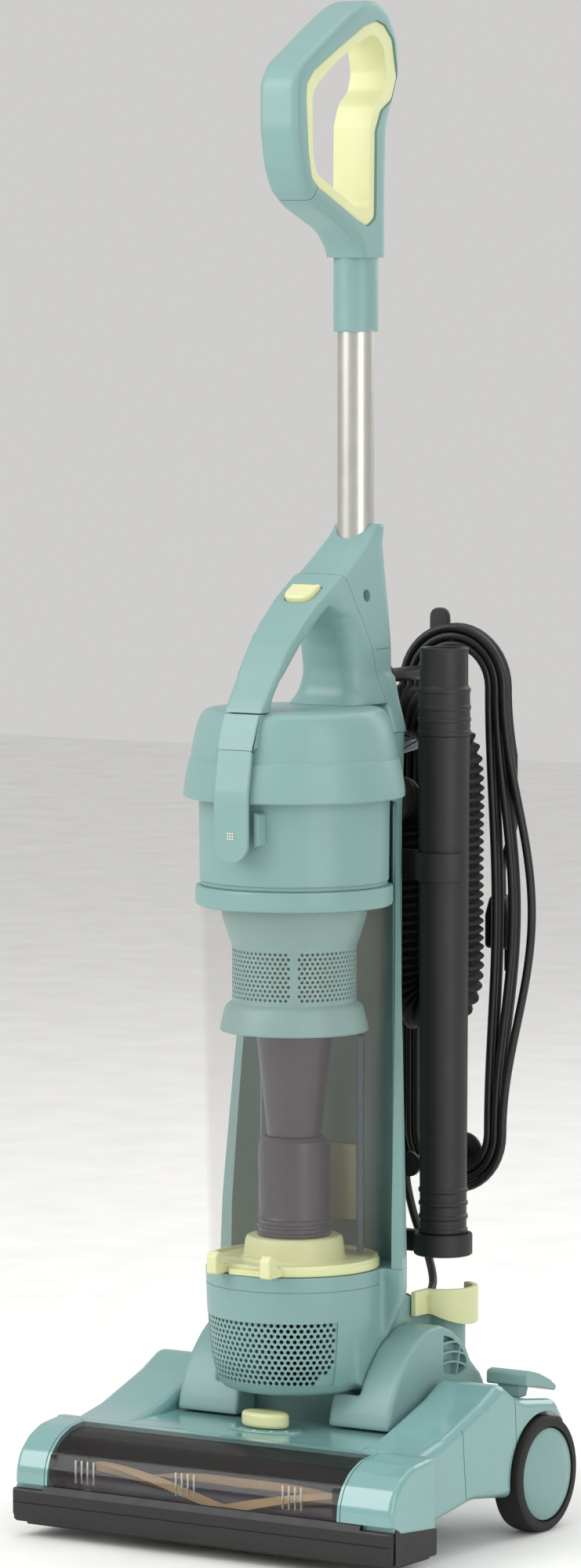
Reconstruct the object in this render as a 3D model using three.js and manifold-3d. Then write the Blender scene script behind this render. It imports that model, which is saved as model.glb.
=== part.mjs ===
// Upright vacuum cleaner, built as an assembly of separate pieces.
// Millimetres, +Z up, the front of the cleaner looks along -Y.
// The origin is on the floor under the middle of the cleaner, its cords left out.
import * as THREE from 'three';
import { mergeVertices } from 'three/addons/utils/BufferGeometryUtils.js';
import Module from 'manifold-3d';

const wasm = await Module();
wasm.setup();

// ---------- driving dimensions ----------
const GAP = 0.3; // clearance between touching pieces
const DEPTH_SHIFT = 18.75; // moves the design frame so that the origin is the middle of the depth
const ROUND = 26; // sides of a large round piece
const SMALL_ROUND = 12; // sides of a small round piece

const NOZZLE_HALF = 157;
const ARM_IN = 92.5;
const ARM_OUT = 145;
const PIVOT = { y: 55, z: 70 }; // recline axis, also the motor's axis
const COVER_R = 57; // lower edge of the side covers, which clears the floor when reclined
const FAN_R = 80; // their upper front edge
const BRUSH = { y: -100, z: 34 };
const BRUSH_PULLEY_R = 13;
const MOTOR_PULLEY_R = 6;
const BELT_X = -115;
const BELT_HALF = 5;
const WHEEL = { y: 89, z: 41, r: 41, x0: 128, x1: 150 };
const ROLLER = { x: 62, y: -40, r: 8, half: 8 };
const PEDAL = { x0: 104, x1: 138 };
const KNOB_Y = -45;

const CUP_Y = -8; // the dust cup's axis
const HOUSING_TOP = 189.2;
const CUP_BOTTOM = 197.3;
const CUP_TOP = 443;
const LID_BOTTOM = 519;
const LID_TOP = 581;
const LID_R = 77.2;
const SPINE_BACK = 88;
const SPINE_TOP = 560;
const CHANNEL_R = 70.3;
const HOOD_TOP = 705;

const TUBE = { y: 71.5, r: 13, z0: 640, z1: 872 };
const GRIP_HALF = 16;
const WAND = { x: 62, y: 90, z0: 189.6, z1: 620, mouth: 14 };
const HOOK_Y = 163.5; // inner face of both cord hook plates
const UPPER_HOOK = { x: 12, z: 598 };
const LOWER_HOOK = { x: 34, z: 252 };
const HANK = { x: 30, z0: 268, z1: 588, outer: 45, inner: 27, y0: 150.8, y1: 163.2 };
const HOSE_R = 18.5;
const HOSE_PORT_LOW = { x: -34, z: 160 };
const HOSE_PORT_HIGH = { x: 8, z: 510 };
const CORD_R = 3;
const GLAND = { x: 30, z: 150 };

// ---------- materials ----------
const plastic = (color, roughness, more = {}) =>
  new THREE.MeshStandardMaterial({ color, roughness, metalness: 0, ...more });
const teal = plastic(0x93afa8, 0.42);
const glossTeal = plastic(0x85b5b0, 0.2);
const yellow = plastic(0xdfe4b2, 0.4);
const black = plastic(0x333231, 0.5);
const rubber = plastic(0x282625, 0.8);
const smoked = plastic(0x554e4c, 0.12, { transparent: true, opacity: 0.6 });
const clear = plastic(0x8d8f8c, 0.08, { transparent: true, opacity: 0.35 });
const dark = plastic(0x4d4a55, 0.35);
const foam = plastic(0x5d6a70, 0.95);
const pale = plastic(0xd9dad2, 0.5);
const champagne = new THREE.MeshStandardMaterial({ color: 0xb8b5ab, roughness: 0.3, metalness: 0.8 });
const steel = new THREE.MeshStandardMaterial({ color: 0x9a9c9e, roughness: 0.35, metalness: 1 });

// ---------- solids from three.js geometry ----------
function solid(geometry) {
  const bare = geometry.clone();
  bare.deleteAttribute('normal');
  bare.deleteAttribute('uv');
  const merged = mergeVertices(bare, 1e-4);
  const index = merged.index.array;
  const kept = [];
  for (let i = 0; i < index.length; i += 3) {
    const [a, b, c] = [index[i], index[i + 1], index[i + 2]];
    if (a !== b && b !== c && c !== a) {
      kept.push(a, b, c);
    }
  }
  const vertProperties = new Float32Array(merged.attributes.position.array);
  const make = (list) => new wasm.Manifold(
    new wasm.Mesh({ numProp: 3, vertProperties, triVerts: new Uint32Array(list) }));
  const made = make(kept);
  if (made.volume() >= 0) {
    return made;
  }
  const turned = [];
  for (let i = 0; i < kept.length; i += 3) {
    turned.push(kept[i], kept[i + 2], kept[i + 1]);
  }
  return make(turned);
}

const join = (...pieces) => pieces.reduce((a, b) => a.add(b));
const cut = (body, ...tools) => tools.reduce((a, b) => a.subtract(b), body);

function shapeOf(points, holes = []) {
  const shape = new THREE.Shape(points.map(([a, b]) => new THREE.Vector2(a, b)));
  for (const hole of holes) {
    shape.holes.push(new THREE.Path(hole.map(([a, b]) => new THREE.Vector2(a, b))));
  }
  return shape;
}

// the same outline, a little larger about its middle
function swell(points, amount) {
  const cy = points.reduce((sum, p) => sum + p[0], 0) / points.length;
  const cz = points.reduce((sum, p) => sum + p[1], 0) / points.length;
  return points.map(([y, z]) => [cy + (y - cy) * (1 + amount), cz + (z - cz) * (1 + amount)]);
}

const extrude = (points, depth, holes) =>
  new THREE.ExtrudeGeometry(shapeOf(points, holes), { depth, bevelEnabled: false });

// side outlines in (y, z), pushed along X
function prismX(points, x0, x1, holes) {
  const turn = new THREE.Matrix4().makeBasis(
    new THREE.Vector3(0, 1, 0), new THREE.Vector3(0, 0, 1), new THREE.Vector3(1, 0, 0));
  return solid(extrude(points, x1 - x0, holes).applyMatrix4(turn).translate(x0, 0, 0));
}
// front outlines in (x, z), pushed along Y
const prismY = (points, y0, y1, holes) =>
  solid(extrude(points, y1 - y0, holes).rotateX(Math.PI / 2).translate(0, y1, 0));
// plan outlines in (x, y), pushed along Z
const prismZ = (points, z0, z1, holes) => solid(extrude(points, z1 - z0, holes).translate(0, 0, z0));

const box = (x0, x1, y0, y1, z0, z1) => solid(new THREE.BoxGeometry(x1 - x0, y1 - y0, z1 - z0)
  .translate((x0 + x1) / 2, (y0 + y1) / 2, (z0 + z1) / 2));

function cylinder(axis, r, from, to, centre, sides = SMALL_ROUND) {
  const bar = new THREE.CylinderGeometry(r, r, to - from, sides);
  const middle = (from + to) / 2;
  if (axis === 'x') {
    bar.rotateZ(Math.PI / 2).translate(middle, centre[0], centre[1]);
  } else if (axis === 'y') {
    bar.translate(centre[0], middle, centre[1]);
  } else {
    bar.rotateX(Math.PI / 2).translate(centre[0], centre[1], middle);
  }
  return solid(bar);
}

// profile in (radius, height); a ring's profile closes on itself
function latheZ(profile, sides = ROUND, ring = false) {
  const points = profile.map(([r, h]) => new THREE.Vector2(r, h));
  if (ring) {
    points.push(points[0].clone());
  }
  return solid(new THREE.LatheGeometry(points, sides).rotateX(Math.PI / 2));
}
// the same, with its axis along X
const latheX = (profile, sides, ring) => {
  const body = latheZ(profile, sides, ring);
  return body.rotate([0, 90, 0]);
};

function arc(cy, cz, r, from, to, steps) {
  return Array.from({ length: steps + 1 }, (_, i) => {
    const angle = THREE.MathUtils.degToRad(from + (to - from) * i / steps);
    return [cy + r * Math.cos(angle), cz + r * Math.sin(angle)];
  });
}

function tubeAlong(points, radius, sides, steps) {
  const path = new THREE.CatmullRomCurve3(points.map((p) => new THREE.Vector3(...p)), false, 'centripetal');
  const section = shapeOf(arc(0, 0, radius, 0, 360 - 360 / sides, sides - 1));
  return solid(new THREE.ExtrudeGeometry(section, { steps, bevelEnabled: false, extrudePath: path }));
}

const cleaner = new THREE.Group();
cleaner.position.y = -DEPTH_SHIFT;

function add(group, name, body, material, place = [0, 0, 0]) {
  const mesh = body.getMesh();
  const geometry = new THREE.BufferGeometry();
  geometry.setAttribute('position', new THREE.BufferAttribute(mesh.vertProperties, 3));
  geometry.setIndex(new THREE.BufferAttribute(mesh.triVerts, 1));
  const piece = new THREE.Mesh(geometry, material);
  piece.name = name;
  piece.position.set(...place);
  group.add(piece);
}

// ---------- floor base ----------
const base = new THREE.Group();
cleaner.add(base);

const NOZZLE_FRONT = [[-128, 38.4], [-127.6, 46], [-124, 58], [-114, 68], [-100, 75], [-78, 78]];
const NOZZLE_FRONT_IN = [[-125, 42], [-124.5, 46], [-121.3, 56.5], [-112.3, 65.2], [-99.3, 72],
  [-78, 75]];
const WINDOW = { x0: -128, x1: 112 };

function baseArm(side) {
  const outline = [[-80, 27], [-80, 76], [-40, 84], [10, 100], [35, 113], [60, 98], [110, 91],
    [122, 76], [122, 58], [112, 40], [53, 30], [0, 35], [-60, 27]];
  const hollow = [[-84, 20], [-84, 72.5], [-40, 80.8], [9, 96.8], [34, 109], [56, 95.5],
    [72, 84.5], [112, 84.5], [119, 74], [119, 20]];
  const [x0, x1] = side > 0 ? [ARM_IN, ARM_OUT] : [-ARM_OUT, -ARM_IN];
  const [in0, in1] = side > 0 ? [ARM_IN + 3, ARM_OUT - 3] : [3 - ARM_OUT, -ARM_IN - 3];
  const [well0, well1] = side > 0 ? [126, 160] : [-160, -126];
  const [cup0, cup1] = side > 0 ? [123, 160] : [-160, -123];
  const [pedal0, pedal1] = side > 0 ? [PEDAL.x0, PEDAL.x1] : [-PEDAL.x1, -PEDAL.x0];
  const centre = [WHEEL.y, WHEEL.z];
  const outer = prismX(outline, x0, x1);
  return {
    outer,
    hollow: prismX(hollow, in0, in1),
    wheelCup: outer.intersect(cylinder('x', WHEEL.r + 6, cup0, cup1, centre, ROUND)),
    wheelWell: cylinder('x', WHEEL.r + 3, well0, well1, centre, ROUND),
    axleHole: cylinder('x', 4.3, Math.min(cup0, well0), Math.max(cup1, well1), centre),
    pedalRecess: box(pedal0 - 0.6, pedal1 + 0.6, 76, 126, 88, 125),
    pivotHole: cylinder('x', 12.4, side > 0 ? 90 : -101, side > 0 ? 101 : -90, [PIVOT.y, PIVOT.z], ROUND),
  };
}

const nozzleWall = () => cut(
  prismX([[-124, 12], [-124, 38.4], ...NOZZLE_FRONT, [-70, 78], [-70, 12]],
    1 - NOZZLE_HALF, NOZZLE_HALF - 1),
  prismX([[-121, 10], [-121, 42], ...NOZZLE_FRONT_IN, [-66, 75], [-66, 10]],
    4 - NOZZLE_HALF, NOZZLE_HALF - 4));
// everything in front of the nozzle's wall between the window's ends
const WINDOW_ROOM = [[-131, 38.4], ...NOZZLE_FRONT.map(([y, z]) => [y - 3, z + 3]), [-78, 74],
  ...NOZZLE_FRONT_IN.slice(0, 5).reverse().map(([y, z]) => [y + 0.6, z - 0.6]), [-124, 38.4]];

function baseShell() {
  const deck = prismX([[-72, 12], [-72, 78], [-6, 80], [-6, 12]], -96, 96);
  const deckHollow = prismX([[-74, 10], [-74, 75], [-9, 77], [-9, 10]], -93, 93);
  const arms = [baseArm(-1), baseArm(1)];
  const nozzleRoom = prismX([[-121, 10], [-121, 42], ...NOZZLE_FRONT_IN, [-66, 75], [-66, 10]],
    4 - NOZZLE_HALF, NOZZLE_HALF - 4);
  let shell = join(nozzleWall(), deck, arms[0].outer, arms[1].outer);
  shell = cut(shell, nozzleRoom, deckHollow, arms[0].hollow, arms[1].hollow,
    prismX(WINDOW_ROOM, WINDOW.x0, WINDOW.x1));
  shell = join(shell, arms[0].wheelCup, arms[1].wheelCup);
  for (const arm of arms) {
    shell = cut(shell, arm.wheelWell, arm.axleHole, arm.pedalRecess, arm.pivotHole);
  }
  return shell;
}

add(base, 'base_shell', baseShell(), glossTeal);
const windowSpan = [WINDOW.x0 + GAP, WINDOW.x1 - GAP];
add(base, 'nozzle_window', nozzleWall().intersect(prismX(WINDOW_ROOM, ...windowSpan))
  .intersect(box(...windowSpan, -140, -80.1, 38.7, 90)), smoked);
add(base, 'front_bumper', prismX([[-130, 16], [-130, 33], [-127, 38.1], [-124.3, 38.1], [-124.3, 11],
  [-127, 11]], -NOZZLE_HALF, NOZZLE_HALF), black);

const rollerSlot = (side) => {
  const [x0, x1] = [side * ROLLER.x - 12, side * ROLLER.x + 12];
  return box(x0, x1, ROLLER.y - 10, ROLLER.y + 10, 7, 13);
};
const solePlan = join(box(-152, 152, -120, -71, 8, 11.7), box(-94, 94, -72, -12, 8, 11.7));
const suctionMouth = box(-130, 130, -117, -84, 7, 13);
add(base, 'soleplate', cut(solePlan, suctionMouth, rollerSlot(-1), rollerSlot(1)), black);
add(base, 'suction_duct', cut(box(-26, 26, -66, -12, 24, 60), box(-23, 23, -67, -11, 27, 57)), dark);

// the belt runs round two pulleys in the left arm
function beltLoop(extra) {
  const dy = BRUSH.y - PIVOT.y;
  const dz = BRUSH.z - PIVOT.z;
  const lean = THREE.MathUtils.radToDeg(Math.atan2(dz, dy));
  const taper = (MOTOR_PULLEY_R - BRUSH_PULLEY_R) / Math.hypot(dy, dz);
  const wrap = THREE.MathUtils.radToDeg(Math.acos(taper));
  return [
    ...arc(PIVOT.y, PIVOT.z, MOTOR_PULLEY_R + extra, lean + wrap, lean + 360 - wrap, 8),
    ...arc(BRUSH.y, BRUSH.z, BRUSH_PULLEY_R + extra, lean - wrap, lean + wrap, 10),
  ];
}
add(base, 'drive_belt',
  prismX(beltLoop(2.3), BELT_X - BELT_HALF, BELT_X + BELT_HALF, [beltLoop(0.5)]), rubber);

function brushRoll() {
  const half = 137;
  const core = cylinder('x', 14, -half, half, [0, 0], 20);
  const groove = cut(cylinder('x', 15, BELT_X - 7, BELT_X + 7, [0, 0], 20),
    cylinder('x', BRUSH_PULLEY_R, BELT_X - 8, BELT_X + 8, [0, 0], 20));
  const reach = 19.5;
  const tufts = join(box(-108, half - 4, -2.5, 2.5, -reach, reach),
    box(-108, half - 4, -reach, reach, -2.5, 2.5));
  return cut(join(core, tufts), groove);
}
add(base, 'brush_roll', brushRoll(), dark, [0, BRUSH.y, BRUSH.z]);
for (const [name, x0] of [['brush_bearing_left', -152.7], ['brush_bearing_right', 137.4]]) {
  add(base, name, cylinder('x', 10, x0, x0 + 15.3, [BRUSH.y, BRUSH.z]), black);
}

for (const [word, side] of [['left', -1], ['right', 1]]) {
  const across = (a, b) => (side > 0 ? [a, b] : [-b, -a]);
  const place = [0, WHEEL.y, WHEEL.z];
  const [t0, t1] = across(WHEEL.x0, WHEEL.x1);
  const tread = [[33.3, t0], [38, t0], [WHEEL.r, t0 + 4], [WHEEL.r, t1 - 4], [38, t1], [33.3, t1]];
  const tyre = latheX(tread, 40, true);
  add(base, `wheel_tyre_${word}`, tyre, rubber, place);
  const dome = [[4.4, 128], [33, 128], [33, 147], [28, 151], [16, 153.5], [0, 154], [0, 147], [4.4, 147]];
  const turned = latheX(dome.map(([r, h]) => [r, side * h]), ROUND, true);
  add(base, `wheel_hub_${word}`, turned, teal, place);
  const [a0, a1] = across(96, 146.5);
  add(base, `wheel_axle_${word}`, cylinder('x', 4, a0, a1, [WHEEL.y, WHEEL.z]), steel);
  const roller = join(cylinder('x', ROLLER.r, -ROLLER.half, ROLLER.half, [0, 0]),
    cylinder('x', 2.5, -11.7, 11.7, [0, 0]));
  add(base, `front_roller_${word}`, roller, black, [side * ROLLER.x, ROLLER.y, ROLLER.r]);
  const [p0, p1] = across(PEDAL.x0, PEDAL.x1);
  const pedal = prismX([[79, 96.5], [81, 112], [90, 115], [112, 108], [120, 99], [119, 95.5], [108, 93]],
    p0, p1);
  add(base, side > 0 ? 'release_pedal' : 'power_pedal', pedal, side > 0 ? teal : yellow);
}
const oval = arc(0, 0, 20, 0, 342, 19).map(([x, y]) => [x, 0.6 * y]);
add(base, 'height_knob', prismZ(oval, 0, 12), yellow, [0, KNOB_Y, 79.6]);

// ---------- upright body ----------
const body = new THREE.Group();
cleaner.add(body);

const HOUSING = [[0, 104], [44, 104], [54, 110], [58, 125], [60.5, 150], [62, HOUSING_TOP],
  [0, HOUSING_TOP]];
const CHANNEL_SIDE = [[70, 15], [68, 36], [57, 54], [45, 70], [38, 82], [30, 88]];
const mirrored = (points) => points.map(([x, y]) => [-x, y]).reverse();
const CHANNEL_PLAN = [...CHANNEL_SIDE, ...mirrored(CHANNEL_SIDE)];
// side covers in (y, z): a fan over the pivot, cut off level above the base, with a cheek under the housing
const COVER_TOP = [[46, 147], [61, 141.5], [73, 133.5], [80, 127], [86, 117]];
const COVER_LINE = [[1, 81], ...arc(PIVOT.y, PIVOT.z, FAN_R, 172, 108, 10), ...COVER_TOP,
  ...arc(PIVOT.y, PIVOT.z, COVER_R, 40, -188, 24)];
const GRILLE_FROM = -152; // plan angles of the grille round the front of the housing
const GRILLE_TO = -28;
const sector = (from, to, r) => [[0, CUP_Y], ...arc(0, CUP_Y, r, from, to, 8)];
const grilleBand = (grow) => {
  const wall = [[55 + grow, 110 - grow], [58 + grow, 125], [60.2 + grow, 154 + grow]];
  return [...wall, [57 - 3 * grow, 154 + grow], [51 - 3 * grow, 110 - grow]];
};

function lowerHousing() {
  const pot = latheZ(HOUSING).translate([0, CUP_Y, 0]);
  const block = prismX([[-30, HOUSING_TOP], [-30, 112], [2, 100], ...arc(PIVOT.y, PIVOT.z, 50, 175, 375, 16),
    [103, 100], [SPINE_BACK, 124], [SPINE_BACK, HOUSING_TOP]], -60, 60);
  const post = cut(cylinder('z', 16, 112, 150, [WAND.x, WAND.y], 24),
    prismX(swell(COVER_LINE, 0.02), 59, 90),
    box(WAND.x - 4, WAND.x + 20, 60, 84, 100, 125));
  const collar = prismZ(CHANNEL_PLAN, 150, HOUSING_TOP);
  const motorRoom = cylinder('x', 46, -56, 61, [PIVOT.y, PIVOT.z], ROUND);
  const shaftHole = cylinder('x', 8, -62, -50, [PIVOT.y, PIVOT.z]);
  const filterRoom = latheZ([[0, 118], [48, 118], [50, 180], [0, 180]]).translate([0, CUP_Y, 0]);
  const window = latheZ(grilleBand(3), ROUND, true).translate([0, CUP_Y, 0])
    .intersect(prismZ(sector(GRILLE_FROM - 1, GRILLE_TO + 1, 90), 100, 170));
  return cut(join(pot, block, collar, post), motorRoom, shaftHole, filterRoom, window);
}
add(body, 'lower_housing', lowerHousing(), teal);
add(body, 'exhaust_grille', latheZ(grilleBand(0), ROUND, true).translate([0, CUP_Y, 0])
  .intersect(prismZ(sector(GRILLE_FROM, GRILLE_TO, 90), 100, 170)), teal);
add(body, 'exhaust_filter', latheZ([[30, 126], [46, 126], [46, 176], [30, 176]], ROUND, true), pale,
  [0, CUP_Y, 0]);
for (const [word, side] of [['left', -1], ['right', 1]]) {
  const [x0, x1] = side > 0 ? [60.3, 88] : [-88, -60.3];
  const [h0, h1] = side > 0 ? [60.3, 100.3] : [-100.3, -60.3];
  const hub = cylinder('x', 11.8, h0, h1, [PIVOT.y, PIVOT.z], ROUND);
  const bore = cylinder('x', 8, -102, 102, [PIVOT.y, PIVOT.z]);
  const [c0, c1] = side > 0 ? [38, 61] : [-61, -38];
  const cheek = prismX([[1.5, 81], ...arc(PIVOT.y, PIVOT.z, FAN_R, 172, 155, 4), [1.5, 99.6]], c0, c1);
  add(body, `side_cover_${word}`, cut(join(prismX(COVER_LINE, x0, x1), cheek, hub), bore), teal);
}
add(body, 'motor_can', cut(cylinder('x', 42, -50, 50, [PIVOT.y, PIVOT.z], ROUND),
  cylinder('x', 4.6, -51, 51, [PIVOT.y, PIVOT.z])), steel);
add(body, 'motor_rotor', join(cylinder('x', 4, -121, 58, [0, 0]), cylinder('x', 38, 52, 58, [0, 0], ROUND),
  cylinder('x', MOTOR_PULLEY_R, BELT_X - 6, BELT_X + 6, [0, 0])), steel, [0, PIVOT.y, PIVOT.z]);

function spine() {
  const width = [[-72, 180], [72, 180], [64, 480], [38, SPINE_TOP], [-38, SPINE_TOP], [-64, 480]];
  const wall = prismZ(CHANNEL_PLAN, HOUSING_TOP + GAP, SPINE_TOP).intersect(prismY(width, 0, 100));
  const cupRoom = cylinder('z', CHANNEL_R, 180, 516, [0, CUP_Y], 40);
  const lidRoom = cylinder('z', LID_R + 1.6, 514, 562, [0, CUP_Y], 40);
  const duct = box(-20, 26, 66, 83, 180, 532);
  const port = cylinder('y', 15, 74, 90, [HOSE_PORT_HIGH.x, HOSE_PORT_HIGH.z]);
  return cut(wall, cupRoom, lidRoom, duct, port);
}
add(body, 'spine_channel', spine(), teal);

const PARTING = [[63, 581.3], [59, 597], [55, 611], [50, 625], [44, 635], [35, 651], [26, 668]];
function hood() {
  const behind = PARTING.map(([y, z]) => [y + 0.5, z]);
  const outline = [[64, SPINE_TOP + GAP], ...behind, [54, 692], [88, HOOD_TOP], [88, SPINE_TOP + GAP]];
  const width = [[-38, 550], [38, 550], [27, 605], [24, 710], [-24, 710], [-27, 605]];
  const shell = prismX(outline, -40, 40).intersect(prismY(width, 0, 100));
  return cut(shell, cylinder('z', TUBE.r + GAP, TUBE.z0 - GAP, 720, [0, TUBE.y], 24));
}
add(body, 'neck_hood', hood(), teal);
add(body, 'handle_tube', cylinder('z', TUBE.r, TUBE.z0, TUBE.z1, [0, TUBE.y], 24), champagne);

const GRIP_OUTER = [[-30, 982], [-30, 1013], [-21, 1025], [20, 1050], [45, 1065], [60, 1071], [74, 1073],
  [90, 1066], [103, 1048], [106, 1024], [98, 1004], [88, 985], [87.2, 841], [55.8, 841], [55.8, 900],
  [40, 911], [0, 927], [-16, 938], [-25, 952]];
const GRIP_LINER = [[-8, 1022], [-17, 1013], [-18, 1003], [-15, 966], [-11, 948], [-2, 941], [50, 918],
  [62, 914], [73, 920], [74, 981], [81, 995], [95, 1003], [102, 1019], [96, 1046], [85, 1056], [74, 1059],
  [58, 1055], [23, 1038]];
const GRIP_HOLE = [[-8, 1004], [-7, 966], [-2, 952], [50, 927], [60, 925], [65, 930], [66, 985], [72, 1000],
  [84, 1010], [88, 1022], [84, 1040], [74, 1049], [60, 1046], [25, 1030], [0, 1014]];
function gripFrame() {
  const blank = prismX(GRIP_OUTER, -GRIP_HALF, GRIP_HALF);
  const sleeve = cylinder('z', 15.8, 820, 910, [0, TUBE.y], 24);
  const sleeveTrim = cut(box(-20, 20, 50, 95, 830, 905), sleeve);
  const bore = cylinder('z', TUBE.r + GAP, 830, TUBE.z1 + GAP, [0, TUBE.y], 24);
  return cut(blank, prismX(swell(GRIP_LINER, 0.008), -20, 20), sleeveTrim, bore);
}
add(body, 'grip_frame', gripFrame(), teal);
add(body, 'grip_liner', prismX(GRIP_LINER, 1 - GRIP_HALF, GRIP_HALF - 1, [GRIP_HOLE]), yellow);

// ---------- dust cup, its door, filter and lid ----------
const cup = new THREE.Group();
cleaner.add(cup);
const onAxis = [0, CUP_Y, 0];
const HINGE = { y: CUP_Y - 66.7, z: 201 };

const cupWall = latheZ([[57.5, CUP_BOTTOM], [60, CUP_BOTTOM], [66, CUP_TOP], [63.5, CUP_TOP]], 40, true)
  .translate(onAxis);
add(cup, 'dust_cup', join(cupWall, cylinder('x', 3.5, -17.7, 17.7, [HINGE.y, HINGE.z]),
  box(-17.7, 17.7, HINGE.y, CUP_Y - 58.6, 198, 204)), clear);
const doorDisc = latheZ([[0, 189.5], [60, 189.5], [60, 197], [35, 197], [33, 211], [0, 211]])
  .translate(onAxis);
const lug = (x0, x1) => join(box(x0, x1, HINGE.y - 4.5, CUP_Y - 50, 189.5, 197),
  box(x0, x1, HINGE.y - 4.5, HINGE.y + 4.2, 190, 205));
add(cup, 'cup_door', join(doorDisc, lug(-26, -18), lug(18, 26)), yellow);
add(cup, 'door_latch',
  prismX([[54.4, 214], [55.2, 266], [57, 268], [58, 262], [57.5, 216]], -10.5, 10.5), yellow);
add(cup, 'inner_canister', latheZ([[0, 211.3], [26.5, 211.3], [25, 224], [25, 281], [0, 281]]), dark,
  onAxis);
add(cup, 'cyclone_cone', latheZ([[0, 281.3], [19, 281.3], [26.7, 355], [0, 355]]), dark, onAxis);
add(cup, 'cyclone_shroud', latheZ([[27, 355.3], [52, 355.3], [52, 373], [43.5, 376], [43.5, 415], [51, 436],
  [51, CUP_TOP], [44, CUP_TOP], [40, 415], [40, 379], [27, 373]], ROUND, true), teal, onAxis);
add(cup, 'cup_ring', latheZ([[30, 443.3], [69, 443.3], [69, 458], [30, 458]], ROUND, true), teal, onAxis);
const chamber = [[30, 458.3], [66, 458.3], [66, 518.7], [62, 518.7], [62, 462], [30, 462]];
add(cup, 'filter_chamber', latheZ(chamber, 40, true), teal, onAxis);
add(cup, 'foam_filter', latheZ([[0, 462.3], [58, 462.3], [58, 512], [0, 512]], 24), foam, onAxis);
add(cup, 'cup_lid', latheZ([[0, LID_BOTTOM], [LID_R, LID_BOTTOM], [LID_R, 524], [73.2, 546], [70.6, 560],
  [65.5, 577], [61, LID_TOP], [0, LID_TOP]], 36), teal, onAxis);

function carryHandle() {
  const strapTop = [[26, 668], [-5, 651], [-26, 636], [-45, 617], [-56, 605], [-67, 592], [-74, 581.3]];
  const strapUnder = [[-58, 581.3], [-58, 588], [-49, 602], [-33, 617], [-11, 635], [18, 646]];
  const strap = prismX([...strapTop, ...strapUnder, [30, 660]], -17, 17);
  const column = prismX([[18, 646], [24, 625], [27, 600], [28, 581.3], ...PARTING], -23, 23);
  return join(strap, column);
}
// the button sits square on the strap's sloping top
const BUTTON = { y: 6, z: 657, lean: 28.7 };
const onStrap = (piece) => piece.rotate([BUTTON.lean, 0, 0]).translate([0, BUTTON.y, BUTTON.z]);
add(cup, 'carry_handle', cut(carryHandle(), onStrap(box(-12, 12, -10.4, 10.4, -9.6, 12))), teal);
add(cup, 'cup_release_button', onStrap(box(-11.5, 11.5, -10, 10, -4.8, 3.5)), yellow);
const outOfLid = ([z, out]) => [CUP_Y - LID_R - 0.6 - out, z];
const latchInside = [[478, 0], [524, 0], [546, -3.6], [556, -5.2]];
const latchOutside = [[556, -2.4], [546, -0.8], [524, 2.8], [518, 3.2], [482, 2.8]];
add(cup, 'lid_latch', prismX([...latchInside, ...latchOutside].map(outOfLid), -13, 13), teal);

// ---------- wand and its holders ----------
const lugTo = (z0, z1) => box(24, WAND.x - 19.5, SPINE_BACK + GAP, 98, z0, z1);
add(body, 'wand_holder', join(prismZ(arc(WAND.x, WAND.y, 20.8, 0, 337.5, 15), WAND.z0, 205,
  [arc(WAND.x, WAND.y, 17.4, 0, 337.5, 15)]), lugTo(WAND.z0, 205)), black);
const clipPlan = [...arc(WAND.x, WAND.y, 20.8, 105, 345, 14), ...arc(WAND.x, WAND.y, 18.7, 345, 105, 14)];
add(body, 'wand_clip', join(prismZ(clipPlan, 456, 476), lugTo(456, 476)), black);
const wand = new THREE.Group();
wand.position.set(WAND.x, WAND.y, 0);
cleaner.add(wand);
const tube = [[13, WAND.z0], [16.5, WAND.z0], [16.5, 300], [18.3, 557.7], [14.5, 557.7]];
add(wand, 'wand_body', latheZ(tube, 28, true), black);
add(wand, 'wand_collar', latheZ([[WAND.mouth, 558], [19, 558], [19, 590], [17, 594], [17, WAND.z1],
  [WAND.mouth, WAND.z1]], 28, true), black);

// ---------- cord hooks, hose saddle, clip and ports ----------
const tab = [[-8, -10], [8, -10], ...arc(0, 37, 8, 0, 180, 8)];
add(body, 'upper_cord_hook', join(prismY(tab, HOOK_Y, HOOK_Y + 4),
  cylinder('y', 5, SPINE_BACK + GAP, HOOK_Y + 1, [0, 0])), black, [UPPER_HOOK.x, 0, UPPER_HOOK.z]);
add(body, 'lower_cord_hook', join(cylinder('y', 14, HOOK_Y, HOOK_Y + 4, [0, 0], 24),
  cylinder('y', 5, SPINE_BACK + GAP, HOOK_Y + 1, [0, 0])), black, [LOWER_HOOK.x, 0, LOWER_HOOK.z]);
add(body, 'hose_saddle', prismX([[SPINE_BACK + GAP, 536], [SPINE_BACK + GAP, 552], [136, 550], [140, 552],
  [140, 543], [120, 541]], -8, 11), teal);
const clipRing = (r) => arc(WAND.x, WAND.y, r, -90, 75, 14);
const clipBand = prismZ([...clipRing(25), ...clipRing(20).reverse()], 150.3, 168);
add(body, 'tool_clip', join(clipBand, box(60.3, 65, 50, 70, 150.3, 168)), yellow);
for (const [name, port] of [['hose_cuff_low', HOSE_PORT_LOW], ['hose_cuff_high', HOSE_PORT_HIGH]]) {
  add(body, name, cylinder('y', 19.5, SPINE_BACK + GAP, 100, [port.x, port.z], 24), black);
}
add(body, 'cord_gland', cylinder('y', 6, SPINE_BACK + GAP, 98, [GLAND.x, GLAND.z]), black);

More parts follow.
